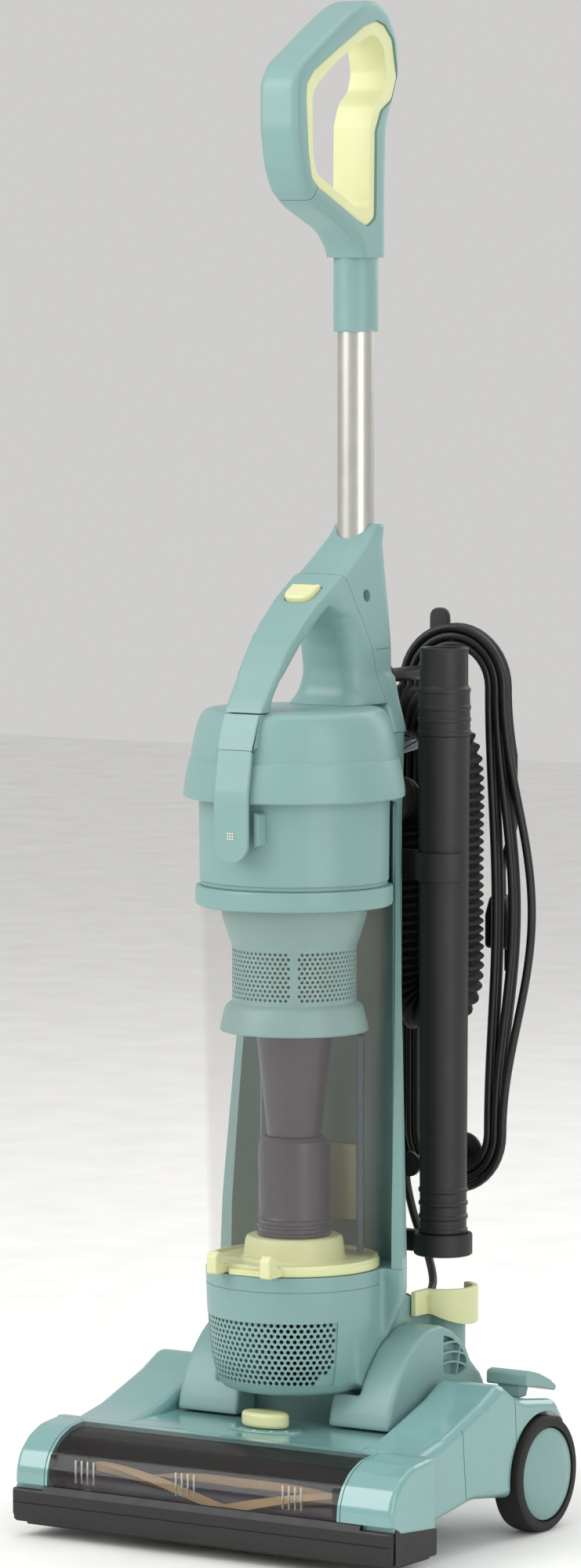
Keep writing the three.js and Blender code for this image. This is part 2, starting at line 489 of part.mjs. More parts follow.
// ---------- hose and mains cord ----------
const HOSE_ROUTE = [
  [-34, 100.9, 160], [-34, 105, 160], [-34, 114.5, 162.5], [-34, 121.5, 169.5], [-34, 124, 179],
  [-35, 124, 240], [-37, 124, 340], [-39, 124, 440], [-40, 124, 500], [-40, 124, 525], [-36, 124.5, 545],
  [-25, 125.5, 561],
  [-10, 127, 570], [4, 128.5, 572], [20, 130, 569], [35, 131, 559], [45, 132, 543], [48, 132, 525],
  [48, 132, 480],
  [48, 132, 420], [48, 132, 384], [45, 131.5, 371], [38, 130, 362], [28, 128, 359], [18, 126, 362],
  [11, 124.5, 371], [8, 124, 384], [8, 124, 430], [8, 124, 480], [8, 124, 491], [8, 121.5, 500.5],
  [8, 114.5, 507.5], [8, 105, 510], [8, 100.9, 510],
];
add(body, 'stretch_hose', tubeAlong(HOSE_ROUTE, HOSE_R, 8, 70), rubber);
const LEAD_ROUTE = [
  [30, 98.3, 150], [30, 110, 150], [29, 122, 152], [24, 138, 160], [12, 150, 178], [-2, 155, 202],
  [-10, 157, 226],
  [-12, 157, 244.6],
];
add(body, 'mains_lead', tubeAlong(LEAD_ROUTE, CORD_R, 8, 16), rubber);
const stadium = (r) => [...arc(HANK.x, HANK.z1, r, 0, 180, 10), ...arc(HANK.x, HANK.z0, r, 180, 360, 10)];
add(body, 'cord_hank', prismY(stadium(HANK.outer), HANK.y0, HANK.y1, [stadium(HANK.inner)]), rubber);
const plugSide = [[HANK.y1 + GAP, 400], [HANK.y1 + GAP, 438], [182, 438], [182, 406], [178, 400]];
add(body, 'mains_plug', prismX(plugSide, 50, 70), rubber);

export default cleaner;
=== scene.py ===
# Looks of the upright vacuum cleaner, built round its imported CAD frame.
# Shapes are written in the CAD's own millimetres; place() turns them into metres in the shared frame.
import math

import bmesh
import bpy
from mathutils import Matrix, Vector


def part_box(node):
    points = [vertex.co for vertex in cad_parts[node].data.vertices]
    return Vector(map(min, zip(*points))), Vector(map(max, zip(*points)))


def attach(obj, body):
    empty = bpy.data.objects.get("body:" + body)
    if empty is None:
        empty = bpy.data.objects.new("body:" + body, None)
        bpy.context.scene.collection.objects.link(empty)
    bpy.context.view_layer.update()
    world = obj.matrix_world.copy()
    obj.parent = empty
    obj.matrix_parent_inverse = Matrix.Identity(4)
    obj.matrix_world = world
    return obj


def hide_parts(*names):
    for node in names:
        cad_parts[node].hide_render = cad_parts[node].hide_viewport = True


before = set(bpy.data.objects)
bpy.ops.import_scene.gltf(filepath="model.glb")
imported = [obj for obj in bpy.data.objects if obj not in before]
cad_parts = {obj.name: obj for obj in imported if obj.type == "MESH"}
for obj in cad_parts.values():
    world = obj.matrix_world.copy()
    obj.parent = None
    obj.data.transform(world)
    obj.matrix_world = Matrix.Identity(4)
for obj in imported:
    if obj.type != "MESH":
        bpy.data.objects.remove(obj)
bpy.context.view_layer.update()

MM = 0.001
NOZZLE_FRONT_Y = -130.0  # the bumper's front in the CAD's design frame
SHIFT_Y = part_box("front_bumper")[0].y - NOZZLE_FRONT_Y * MM


def place(x, y, z):
    """A point of the CAD's design frame, in metres in the shared frame."""
    return Vector((x * MM, y * MM + SHIFT_Y, z * MM))


def linked(name, data):
    """A new object in the scene that holds some data."""
    made = bpy.data.objects.new(name, data)
    bpy.context.scene.collection.objects.link(made)
    return made


def applied(piece):
    """Bakes a piece's modifiers into its mesh."""
    bpy.context.view_layer.update()
    mesh = bpy.data.meshes.new_from_object(piece.evaluated_get(bpy.context.evaluated_depsgraph_get()))
    piece.modifiers.clear()
    piece.data = mesh
    return piece


# ---------- camera, light and floor ----------
AZIMUTH, ELEVATION, DISTANCE = 33.0, 4.7, 4650.0
LENS = 153.0
AIM = (-5.9, -3.8, 527.0)
FLOOR_HALF_M = 6.0


def make_camera():
    azimuth, elevation = math.radians(AZIMUTH), math.radians(ELEVATION)
    back = Vector((math.sin(azimuth) * math.cos(elevation), -math.cos(azimuth) * math.cos(elevation),
        math.sin(elevation)))
    data = bpy.data.cameras.new("camera")
    data.lens = LENS
    data.sensor_width = 36.0
    data.clip_end = 50.0
    camera = linked("camera", data)
    camera.location = place(*AIM) + back * DISTANCE * MM
    camera.rotation_euler = back.to_track_quat("Z", "Y").to_euler()
    bpy.context.scene.camera = camera


def area_light(name, direction, size, power, distance=2.6):
    data = bpy.data.lights.new(name, "AREA")
    data.shape = "RECTANGLE"
    data.size, data.size_y = size
    data.energy = power
    light = linked(name, data)
    aim = Vector(direction).normalized()
    light.location = Vector((0, 0, 0.5)) + aim * distance
    light.rotation_euler = aim.to_track_quat("Z", "Y").to_euler()


def make_studio():
    area_light("key", (-0.7, -1.0, 0.75), (1.6, 2.2), 44)
    area_light("fill", (1.3, -0.6, 0.35), (1.4, 2.2), 22)
    area_light("top", (0.1, 0.1, 1.0), (2.4, 2.4), 22)
    area_light("rear", (0.2, 1.0, 0.5), (1.8, 1.8), 16)
    world = bpy.data.worlds.new("studio")
    world.use_nodes = True
    background = world.node_tree.nodes["Background"]
    background.inputs["Color"].default_value = (1.0, 0.99, 0.98, 1)
    background.inputs["Strength"].default_value = 0.62
    bpy.context.scene.world = world
    bpy.context.scene.view_settings.view_transform = "Standard"
    mesh = bpy.data.meshes.new("floor")
    half = FLOOR_HALF_M
    mesh.from_pydata([(-half, -half, 0), (half, -half, 0), (half, half, 0), (-half, half, 0)], [],
        [(0, 1, 2, 3)])
    floor = linked("floor", mesh)
    floor.data.materials.append(plastic("floor_paper", (243, 243, 241), 0.75, grain=60, bump=0.05))


# ---------- materials ----------
def linear(rgb):
    return tuple(c / 255 / 12.92 if c / 255 <= 0.04045 else ((c / 255 + 0.055) / 1.055) ** 2.4 for c in rgb)


def noise(nodes, links, coords, scale, detail=3.0):
    node = nodes.new("ShaderNodeTexNoise")
    node.inputs["Scale"].default_value = scale
    node.inputs["Detail"].default_value = detail
    links.new(coords.outputs["Object"], node.inputs["Vector"])
    return node


def plastic(name, rgb, roughness, grain=900, bump=0.12, coat=0.0, metallic=0.0, spread=0.035, stretch=None,
        uneven=0.07):
    """Plastic, rubber, foam or metal: fine grain in the bump, uneven gloss and a slight shift of tone."""
    material = bpy.data.materials.new(name)
    material.use_nodes = True
    nodes, links = material.node_tree.nodes, material.node_tree.links
    shader = nodes["Principled BSDF"]
    shader.inputs["Metallic"].default_value = metallic
    shader.inputs["Coat Weight"].default_value = coat
    shader.inputs["Coat Roughness"].default_value = 0.08
    coords = nodes.new("ShaderNodeTexCoord")
    if stretch:
        mapping = nodes.new("ShaderNodeMapping")
        mapping.inputs["Scale"].default_value = stretch
        links.new(coords.outputs["Object"], mapping.inputs["Vector"])
    tone = noise(nodes, links, coords, 14.0)
    ramp = nodes.new("ShaderNodeValToRGB")
    base = linear(rgb)
    ramp.color_ramp.elements[0].position = 0.3
    ramp.color_ramp.elements[1].position = 0.7
    ramp.color_ramp.elements[0].color = (*(c * (1 - spread) for c in base), 1)
    ramp.color_ramp.elements[1].color = (*(min(1, c * (1 + spread)) for c in base), 1)
    links.new(tone.outputs["Fac"], ramp.inputs["Fac"])
    links.new(ramp.outputs["Color"], shader.inputs["Base Color"])
    gloss = noise(nodes, links, coords, 90.0)
    gloss_range = nodes.new("ShaderNodeMapRange")
    gloss_range.inputs["To Min"].default_value = max(0.02, roughness - uneven)
    gloss_range.inputs["To Max"].default_value = min(1.0, roughness + uneven)
    links.new(gloss.outputs["Fac"], gloss_range.inputs["Value"])
    links.new(gloss_range.outputs["Result"], shader.inputs["Roughness"])
    fine = noise(nodes, links, coords, grain, 4.0)
    if stretch:
        links.new(mapping.outputs["Vector"], fine.inputs["Vector"])
    relief = nodes.new("ShaderNodeBump")
    relief.inputs["Strength"].default_value = bump
    relief.inputs["Distance"].default_value = 0.0002
    links.new(fine.outputs["Fac"], relief.inputs["Height"])
    links.new(relief.outputs["Normal"], shader.inputs["Normal"])
    return material


def clear_plastic(name, rgb, roughness, alpha):
    """Clear or smoked moulded plastic with a little haze."""
    material = plastic(name, rgb, roughness + 0.05, grain=300, bump=0.0, coat=0.3, spread=0.02, uneven=0.01)
    shader = material.node_tree.nodes["Principled BSDF"]
    shader.inputs["Alpha"].default_value = alpha
    shader.inputs["Specular IOR Level"].default_value = 0.6
    return material


MATERIALS = {
    "teal": (plastic, (124, 159, 156), 0.42, {"coat": 0.1}),
    "gloss": (plastic, (119, 161, 159), 0.16, {"coat": 0.6, "bump": 0.04}),
    "yellow": (plastic, (211, 214, 164), 0.4, {"bump": 0.08}),
    "black": (plastic, (27, 26, 26), 0.5, {"bump": 0.15}),
    "rubber": (plastic, (19, 18, 18), 0.62, {"bump": 0.3, "grain": 1400}),
    "cord": (plastic, (15, 15, 16), 0.42, {"bump": 0.15, "grain": 1600}),
    "dark": (plastic, (50, 47, 62), 0.3, {"bump": 0.0, "uneven": 0.02}),
    "duct": (plastic, (44, 70, 80), 0.35, {}),
    "foam": (plastic, (70, 82, 88), 0.95, {"bump": 1.0, "grain": 700, "spread": 0.15}),
    "pale": (plastic, (206, 206, 198), 0.7, {"bump": 0.3}),
    "bristle": (plastic, (222, 186, 138), 0.7, {"bump": 0.5, "spread": 0.12}),
    "metal": (plastic, (196, 195, 189), 0.33, {"metallic": 0.9, "grain": 500, "stretch": (6, 6, 0.15)}),
    "steel": (plastic, (168, 170, 173), 0.3, {"metallic": 1.0, "stretch": (0.2, 5, 5)}),
    # hollow is painted shade: the body teal darkened to stand for the shade inside openings and behind holes
    "hollow": (plastic, (30, 38, 38), 0.7, {}),
}
made_materials = {}


def finish_of(name):
    if name not in made_materials:
        if name == "cup":
            made_materials[name] = clear_plastic("cup_plastic", (176, 170, 160), 0.05, 0.075)
        elif name == "smoke":
            made_materials[name] = clear_plastic("smoke_plastic", (46, 41, 40), 0.06, 0.26)
        else:
            maker, rgb, roughness, more = MATERIALS[name]
            made_materials[name] = maker(f"{name}_finish", rgb, roughness, **more)
    return made_materials[name]


# ---------- outlines ----------
def fillet(points, radius, closed=True, steps=6):
    """Rounds the corners of an outline; radius is one number or one for each point."""
    count = len(points)
    radii = radius if isinstance(radius, (list, tuple)) else [radius] * count
    out = []
    for i, here in enumerate(points):
        if not closed and i in (0, count - 1):
            out.append(tuple(here))
            continue
        here = Vector(here)
        before, after = Vector(points[i - 1]), Vector(points[(i + 1) % count])
        to_before, to_after = (before - here), (after - here)
        turn = to_before.angle(to_after)
        reach = radii[i] / max(math.tan(turn / 2), 1e-4)
        reach = min(reach, 0.48 * to_before.length, 0.48 * to_after.length)
        if reach < 0.05 or turn > math.pi - 0.02:
            out.append(tuple(here))
            continue
        a = here + to_before.normalized() * reach
        b = here + to_after.normalized() * reach
        for k in range(steps + 1):
            t = k / steps
            out.append(tuple(a * (1 - t) ** 2 + here * 2 * t * (1 - t) + b * t ** 2))
    return out


def arc(cx, cy, r, start, stop, steps):
    return [(cx + r * math.cos(math.radians(start + (stop - start) * i / steps)),
        cy + r * math.sin(math.radians(start + (stop - start) * i / steps))) for i in range(steps + 1)]


def oval(cy, half_x, half_y):
    """An ellipse in plan round the middle of the machine."""
    turns = [a * math.pi / 24 for a in range(48)]
    return [(half_x * math.cos(a), cy + half_y * math.sin(a)) for a in turns]


def span(side, a, b):
    """The limits a to b, mirrored to the left side when side is -1."""
    return sorted((side * a, side * b))


def even(points, step):
    """The same closed outline with points no further apart than step."""
    out = []
    for i, a in enumerate(points):
        b = points[(i + 1) % len(points)]
        parts = max(1, math.ceil(math.dist(a, b) / step))
        out += [(a[0] + (b[0] - a[0]) * k / parts, a[1] + (b[1] - a[1]) * k / parts) for k in range(parts)]
    return out


def inset(points, amount):
    """Moves each point of a counter-clockwise outline inwards."""
    out = []
    for i, p in enumerate(points):
        a, b = Vector(points[i - 1]), Vector(points[(i + 1) % len(points)])
        along = (b - a).normalized() if (b - a).length > 1e-9 else Vector((1, 0))
        out.append((p[0] - along.y * amount, p[1] + along.x * amount))
    return out


def area_of(points):
    return sum(points[i - 1][0] * p[1] - p[0] * points[i - 1][1] for i, p in enumerate(points)) / 2


# ---------- meshes ----------
def to_mesh(name, verts, faces):
    mesh = bpy.data.meshes.new(name)
    mesh.from_pydata([tuple(place(*v)) for v in verts], [], faces)
    mesh.validate()
    tidy = bmesh.new()
    tidy.from_mesh(mesh)
    bmesh.ops.remove_doubles(tidy, verts=tidy.verts, dist=1e-6)
    bmesh.ops.recalc_face_normals(tidy, faces=tidy.faces)
    tidy.to_mesh(mesh)
    tidy.free()
    return linked(name, mesh)


def along_axis(axis, a, b, c):
    """(a, b) lies in the outline's plane and c along the axis."""
    return {"x": (c, a, b), "y": (a, c, b), "z": (a, b, c)}[axis]


def slab(name, points, axis, low, high, edge=1.0, steps=3, step=0.0, width=None):
    """An outline pushed along an axis with its edges rounded. width(a, b) scales it across the axis."""
    if area_of(points) < 0:
        points = points[::-1]
    if step:
        points = even(points, step)
    rings = []
    if edge > 0:
        for k in range(steps + 1):
            angle = math.pi / 2 * k / steps
            rings.append((edge * (1 - math.sin(angle)), low + edge * (1 - math.cos(angle))))
        rings += [(r, high - (c - low)) for r, c in rings[::-1]]
    else:
        rings = [(0, low), (0, high)]
    middle = (low + high) / 2
    verts = []
    for amount, c in rings:
        for a, b in inset(points, amount):
            reach = width(a, b) if width else 1.0
            verts.append(along_axis(axis, a, b, middle + (c - middle) * reach))
    n = len(points)
    faces = [tuple(range(n)), tuple(range(n * (len(rings) - 1), n * len(rings)))]
    for k in range(len(rings) - 1):
        for i in range(n):
            j = (i + 1) % n
            faces.append((k * n + i, k * n + j, (k + 1) * n + j, (k + 1) * n + i))
    return to_mesh(name, verts, faces)


def lathe(name, profile, centre=(0, 0), axis="z", sides=96, ring=False, flute=None):
    """Turns a (radius, height) profile round an axis through centre."""
    count = len(profile)
    verts, faces = [], []
    for i in range(sides):
        angle = 2 * math.pi * i / sides
        for r, h in profile:
            reach = r * (flute(angle, h) if flute else 1.0)
            a, b = centre[0] + reach * math.cos(angle), centre[1] + reach * math.sin(angle)
            verts.append(along_axis(axis, a, b, h))
    last = count if ring else count - 1
    for i in range(sides):
        j = (i + 1) % sides
        for k in range(last):
            m = (k + 1) % count
            faces.append((i * count + k, j * count + k, j * count + m, i * count + m))
    return to_mesh(name, verts, faces)


def rod(name, r, axis, low, high, centre, sides=24):
    return lathe(name, [(0, low), (r, low), (r, high), (0, high)], centre, axis, sides)


def cuboid(name, x0, x1, y0, y1, z0, z1):
    return slab(name, [(x0, y0), (x1, y0), (x1, y1), (x0, y1)], "z", z0, z1, 0)


def combine(target, tools, how="DIFFERENCE"):
    """Joins or cuts with each tool in turn, then deletes the tools."""
    for tool in tools:
        step = target.modifiers.new("cut", "BOOLEAN")
        step.operation = how
        step.solver = "MANIFOLD"
        step.object = tool
        applied(target)
        bpy.data.objects.remove(tool)
    return target


def loft(name, rings):
    """Skins a stack of rings that have the same number of points."""
    n = len(rings[0])
    faces = [tuple(range(n)), tuple(range(n * (len(rings) - 1), n * len(rings)))]
    for k in range(len(rings) - 1):
        faces += [(k * n + i, k * n + (i + 1) % n, (k + 1) * n + (i + 1) % n, (k + 1) * n + i)
            for i in range(n)]
    return to_mesh(name, [point for ring in rings for point in ring], faces)


def rounded_section(half, front, back, front_r, back_r, z):
    """A rounded rectangle in plan at height z."""
    points = []
    for x, y, radius, start in ((1, 1, back_r, 0), (-1, 1, back_r, 90), (-1, -1, front_r, 180),
            (1, -1, front_r, 270)):
        radius = min(radius, half - 0.3, (back - front) / 2 - 0.3)
        cy = back - radius if y > 0 else front + radius
        points += arc(x * (half - radius), cy, radius, start, start + 90, 8)
    return [(a, b, z) for a, b in points]


def stepped(stops, t):
    """Reads a value from a list of (position, value) pairs."""
    for (t0, v0), (t1, v1) in zip(stops, stops[1:]):
        if t <= t1:
            return v0 + (v1 - v0) * max(0, (t - t0) / (t1 - t0))
    return stops[-1][1]


def melted(piece, voxel, passes):
    """Fuses a piece's solids into one skin and softens its corners, as moulded plastic is."""
    fuse = piece.modifiers.new("fuse", "REMESH")
    fuse.mode = "VOXEL"
    fuse.voxel_size = voxel / 1000
    soften = piece.modifiers.new("soften", "SMOOTH")
    soften.factor = 0.5
    soften.iterations = passes
    return applied(piece)


def merged(name, pieces):
    """One object out of several that don't need a true union."""
    whole = bmesh.new()
    for piece in pieces:
        whole.from_mesh(piece.data)
        bpy.data.objects.remove(piece)
    mesh = bpy.data.meshes.new(name)
    whole.to_mesh(mesh)
    whole.free()
    return linked(name, mesh)


def turned(piece, degrees, axis, centre):
    pivot = place(*centre)
    turn = Matrix.Translation(pivot) @ Matrix.Rotation(math.radians(degrees), 4,
        axis) @ Matrix.Translation(-pivot)
    piece.data.transform(turn)
    return piece


def smooth_shade(piece, sharp):
    """Joins flat neighbours, then shades smooth between sharp edges, with the large faces leading."""
    tidy = bmesh.new()
    tidy.from_mesh(piece.data)
    bmesh.ops.remove_doubles(tidy, verts=tidy.verts, dist=2e-6)
    bmesh.ops.dissolve_degenerate(tidy, edges=tidy.edges, dist=2e-6)
    bmesh.ops.dissolve_limit(tidy, angle_limit=math.radians(0.4), verts=tidy.verts, edges=tidy.edges)
    tidy.to_mesh(piece.data)
    tidy.free()
    piece.data.polygons.foreach_set("use_smooth", [True] * len(piece.data.polygons))
    piece.data.set_sharp_from_angle(angle=math.radians(sharp))
    weight = piece.modifiers.new("weight", "WEIGHTED_NORMAL")
    weight.keep_sharp = True
    applied(piece)


def dress(piece, finish, body, *nodes, sharp=32):
    """Gives a piece its finish and its body, and the CAD nodes that it stands for."""
    if piece.type == "MESH":
        smooth_shade(piece, sharp)
    piece.data.materials.clear()
    piece.data.materials.append(finish_of(finish))
    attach(piece, body)
    if nodes:
        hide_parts(*nodes)
    return piece


# ---------- hose and mains cord ----------
HOSE_DIAMETER = 37.0
HOSE_PITCH = 6.3
CORD_DIAMETER = 6.0
HOSE_ROUTE = [(-34, 100.9, 160), (-34, 105, 160), (-34, 114.5, 162.5), (-34, 121.5, 169.5),
    (-34, 124, 179), (-35, 124, 240), (-37, 124, 340), (-39, 124, 440), (-40, 124, 500), (-40, 124, 525),
    (-36, 124.5, 545), (-25, 125.5, 561), (-10, 127, 570), (4, 128.5, 572), (20, 130, 569), (35, 131, 559),
    (45, 132, 543), (48, 132, 525), (48, 132, 480), (48, 132, 420), (48, 132, 384), (45, 131.5, 371),
    (38, 130, 362), (28, 128, 359), (18, 126, 362), (11, 124.5, 371), (8, 124, 384), (8, 124, 430),
    (8, 124, 480), (8, 124, 491), (8, 121.5, 500.5), (8, 114.5, 507.5), (8, 105, 510), (8, 100.9, 510)]
LEAD_ROUTE = [(30, 98.3, 150), (30, 110, 150), (29, 122, 152), (24, 138, 160), (12, 150, 178),
    (-2, 155, 202), (-10, 157, 226), (-12, 157, 244.6)]
HANK = {"x": 30, "z0": 268, "z1": 588}
# radius and depth of each turn
HANK_TURNS = [(42, 154), (36, 154), (30, 154), (30, 160), (36, 160), (42, 160)]
BULGE = {42: 24, 36: 14, 30: 6}  # how far a turn's loose right side hangs out


def smooth_route(points, spacing):
    """A centripetal Catmull-Rom curve through the points, evenly sampled, and its length."""
    pts = [Vector(p) for p in points]
    pts = [pts[0] * 2 - pts[1]] + pts + [pts[-1] * 2 - pts[-2]]
    dense = []
    for i in range(1, len(pts) - 2):
        p = pts[i - 1:i + 3]
        t = [0.0]
        for a, b in zip(p, p[1:]):
            t.append(t[-1] + max((b - a).length, 1e-6) ** 0.5)
        for k in range(24):
            u = t[1] + (t[2] - t[1]) * k / 24
            a1 = p[0] * ((t[1] - u) / (t[1] - t[0])) + p[1] * ((u - t[0]) / (t[1] - t[0]))
            a2 = p[1] * ((t[2] - u) / (t[2] - t[1])) + p[2] * ((u - t[1]) / (t[2] - t[1]))
            a3 = p[2] * ((t[3] - u) / (t[3] - t[2])) + p[3] * ((u - t[2]) / (t[3] - t[2]))
            b1 = a1 * ((t[2] - u) / (t[2] - t[0])) + a2 * ((u - t[0]) / (t[2] - t[0]))
            b2 = a2 * ((t[3] - u) / (t[3] - t[1])) + a3 * ((u - t[1]) / (t[3] - t[1]))
            dense.append(b1 * ((t[2] - u) / (t[2] - t[1])) + b2 * ((u - t[1]) / (t[2] - t[1])))
    dense.append(pts[-2])
    total = sum((b - a).length for a, b in zip(dense, dense[1:]))
    count = max(2, round(total / spacing))
    out, walked, k = [dense[0]], 0.0, 0
    for i in range(1, count):
        goal = total * i / count
        while walked + (dense[k + 1] - dense[k]).length < goal:
            walked += (dense[k + 1] - dense[k]).length
            k += 1
        piece = dense[k + 1] - dense[k]
        out.append(dense[k] + piece * ((goal - walked) / piece.length))
    out.append(dense[-1])
    return out, total


def make_hose():
    """A stretch hose: a spiral rib every 6 mm over a thin dark skin."""
    spine, length = smooth_route(HOSE_ROUTE, HOSE_PITCH / 7)
    sides = 28
    verts, faces = [], []
    side = Vector((1, 0, 0))
    for i, p in enumerate(spine):
        ahead = (spine[min(i + 1, len(spine) - 1)] - spine[max(i - 1, 0)]).normalized()
        side = (side - ahead * side.dot(ahead)).normalized()
        other = ahead.cross(side)
        walked = length * i / (len(spine) - 1)
        for k in range(sides):
            angle = 2 * math.pi * k / sides
            wave = 0.5 + 0.5 * math.cos(2 * math.pi * (walked / HOSE_PITCH) - angle)
            r = HOSE_DIAMETER / 2 - 3.6 * (1 - wave ** 0.7)
            verts.append(p + (side * math.cos(angle) + other * math.sin(angle)) * r)
    for i in range(len(spine) - 1):
        for k in range(sides):
            m = (k + 1) % sides
            faces.append((i * sides + k, i * sides + m, (i + 1) * sides + m, (i + 1) * sides + k))
    faces += [tuple(range(sides)), tuple(range(len(verts) - sides, len(verts)))]
    hose = to_mesh("hose", verts, faces)
    dress(hose, "rubber", "upright", "stretch_hose", sharp=60)
    path = [place(*p) for p in smooth_route(HOSE_ROUTE, 12)[0]]


def hank_point(turn, part):
    """Where the cord is after part of one turn: up the left, over the top, down the right, under."""
    here = HANK_TURNS[turn]
    after = HANK_TURNS[min(turn + 1, len(HANK_TURNS) - 1)]
    ease = min(1.0, max(0.0, (part - 0.9) / 0.1))
    ease = ease * ease * (3 - 2 * ease)
    r = here[0] + (after[0] - here[0]) * ease
    y = here[1] + (after[1] - here[1]) * ease
    straight = HANK["z1"] - HANK["z0"]
    around = 2 * straight + 2 * math.pi * r
    walk = part * around
    if walk < straight:
        return (HANK["x"] - r, y, HANK["z0"] + walk)
    walk -= straight
    if walk < math.pi * r:
        a = math.pi - walk / r
        return (HANK["x"] + r * math.cos(a), y, HANK["z1"] + r * math.sin(a))
    walk -= math.pi * r
    if walk < straight:
        swell = BULGE[here[0]] * math.sin(math.pi * walk / straight) ** 2
        return (HANK["x"] + r + swell, y, HANK["z1"] - walk)
    walk -= straight
    a = -walk / r
    return (HANK["x"] + r * math.cos(a), y, HANK["z0"] + r * math.sin(a))


def make_cord():
    points = [Vector(p) for p in smooth_route(LEAD_ROUTE + [(-12, 156, 262)], 6)[0]][:-1]
    steps = 150
    for turn in range(len(HANK_TURNS)):
        for k in range(steps):
            part = k / steps
            if turn == 0 and part < 0.02:
                continue
            if turn == len(HANK_TURNS) - 1 and part > 0.555:
                break
            points.append(Vector(hank_point(turn, part)))
    last = points[-1]
    tail = [tuple(last), (last.x, last.y, last.z - 18), (last.x - 3, 166, last.z - 48),
        (60, 172.5, last.z - 84), (60, 172.75, 446), (60, 172.75, 438.4)]
    points += smooth_route(tail, 6)[0][1:]
    curve = bpy.data.curves.new("mains_cord", "CURVE")
    curve.dimensions = "3D"
    curve.bevel_depth = CORD_DIAMETER / 2 * MM
    curve.bevel_resolution = 4
    curve.use_fill_caps = True
    spline = curve.splines.new("POLY")
    spline.points.add(len(points) - 1)
    for point, p in zip(spline.points, points):
        point.co = (*place(*p), 1)
    cord = linked("mains_cord", curve)
    dress(cord, "cord", "upright", "mains_lead", "cord_hank")

    plug = slab("plug_body", fillet([(50, 400), (70, 400), (70, 424), (66, 438), (54, 438), (50, 424)], 4),
        "y", 163.6, 182, 3)
    pins = [rod(f"plug_pin_{i}", 2.2, "z", 384, 401, (x, 172.75)) for i, x in enumerate((55.5, 64.5))]
    plug = merged("plug", [plug, *pins])
    dress(plug, "rubber", "upright", "mains_plug")
    strain = lathe("strain_relief", [(0, SPINE_BACK), (9, SPINE_BACK), (9, 91), (6.6, 92), (6.4, 95),
        (5.2, 96), (5.0, 99), (4.2, 100), (4.0, 104), (3.1, 106), (0, 106)], (30, 150), "y", 32)
    dress(strain, "rubber", "upright", "cord_gland")


# ---------- floor base ----------
SPINE_BACK = 88.0
NOZZLE_HALF = 157.0
CUP_Y = -8.0
PIVOT = (55, 70)
WHEEL = (89, 41)
NOZZLE_TOP = [(-128, 38.4), (-127.6, 48), (-123, 60), (-112, 70), (-98, 76), (-78, 78)]
WINDOW = (-128, 112)
KNOB_Y = -45.0
ARM_BLOCK = (92.5, 145)  # one rear arm's inner and outer side
BRUSH_AXIS = (-100, 34)
MOTOR_PULLEY_R, BRUSH_PULLEY_R = 6, 13
ROLLER_X = 62


def nozzle_outline(shrink=0.0):
    top = fillet([(-128, 30), *NOZZLE_TOP, (-60, 78.5)], 22, closed=False)[1:-1]
    outline = [*top, (-70, 78), (-70, 12), (-128, 12)]
    outline = [p for i, p in enumerate(outline) if math.dist(p, outline[i - 1]) > 0.05]
    return inset(outline[::-1], shrink) if shrink else outline[::-1]


def arm_cutters(side):
    """Wheel well, pedal recess, pivot hole and hollow of one rear arm."""
    hollow = [(-84, 20), (-84, 72), (-40, 80), (9, 95), (34, 107), (56, 94), (72, 84.5), (112, 84.5),
        (119, 74), (119, 20)]
    recess = [(75, 88), (127, 86), (127, 125), (75, 125)]
    return [
        slab("arm_hollow", hollow, "x", *span(side, 95.5, 121), 0),
        rod("well", 44, "x", *span(side, 126, 160), WHEEL, 96),
        slab("recess", recess, "x", *span(side, 103.2, 138.8), 0),
        rod("pivot_hole", 12.6, "x", *span(side, 88, 99), PIVOT, 32),
    ]


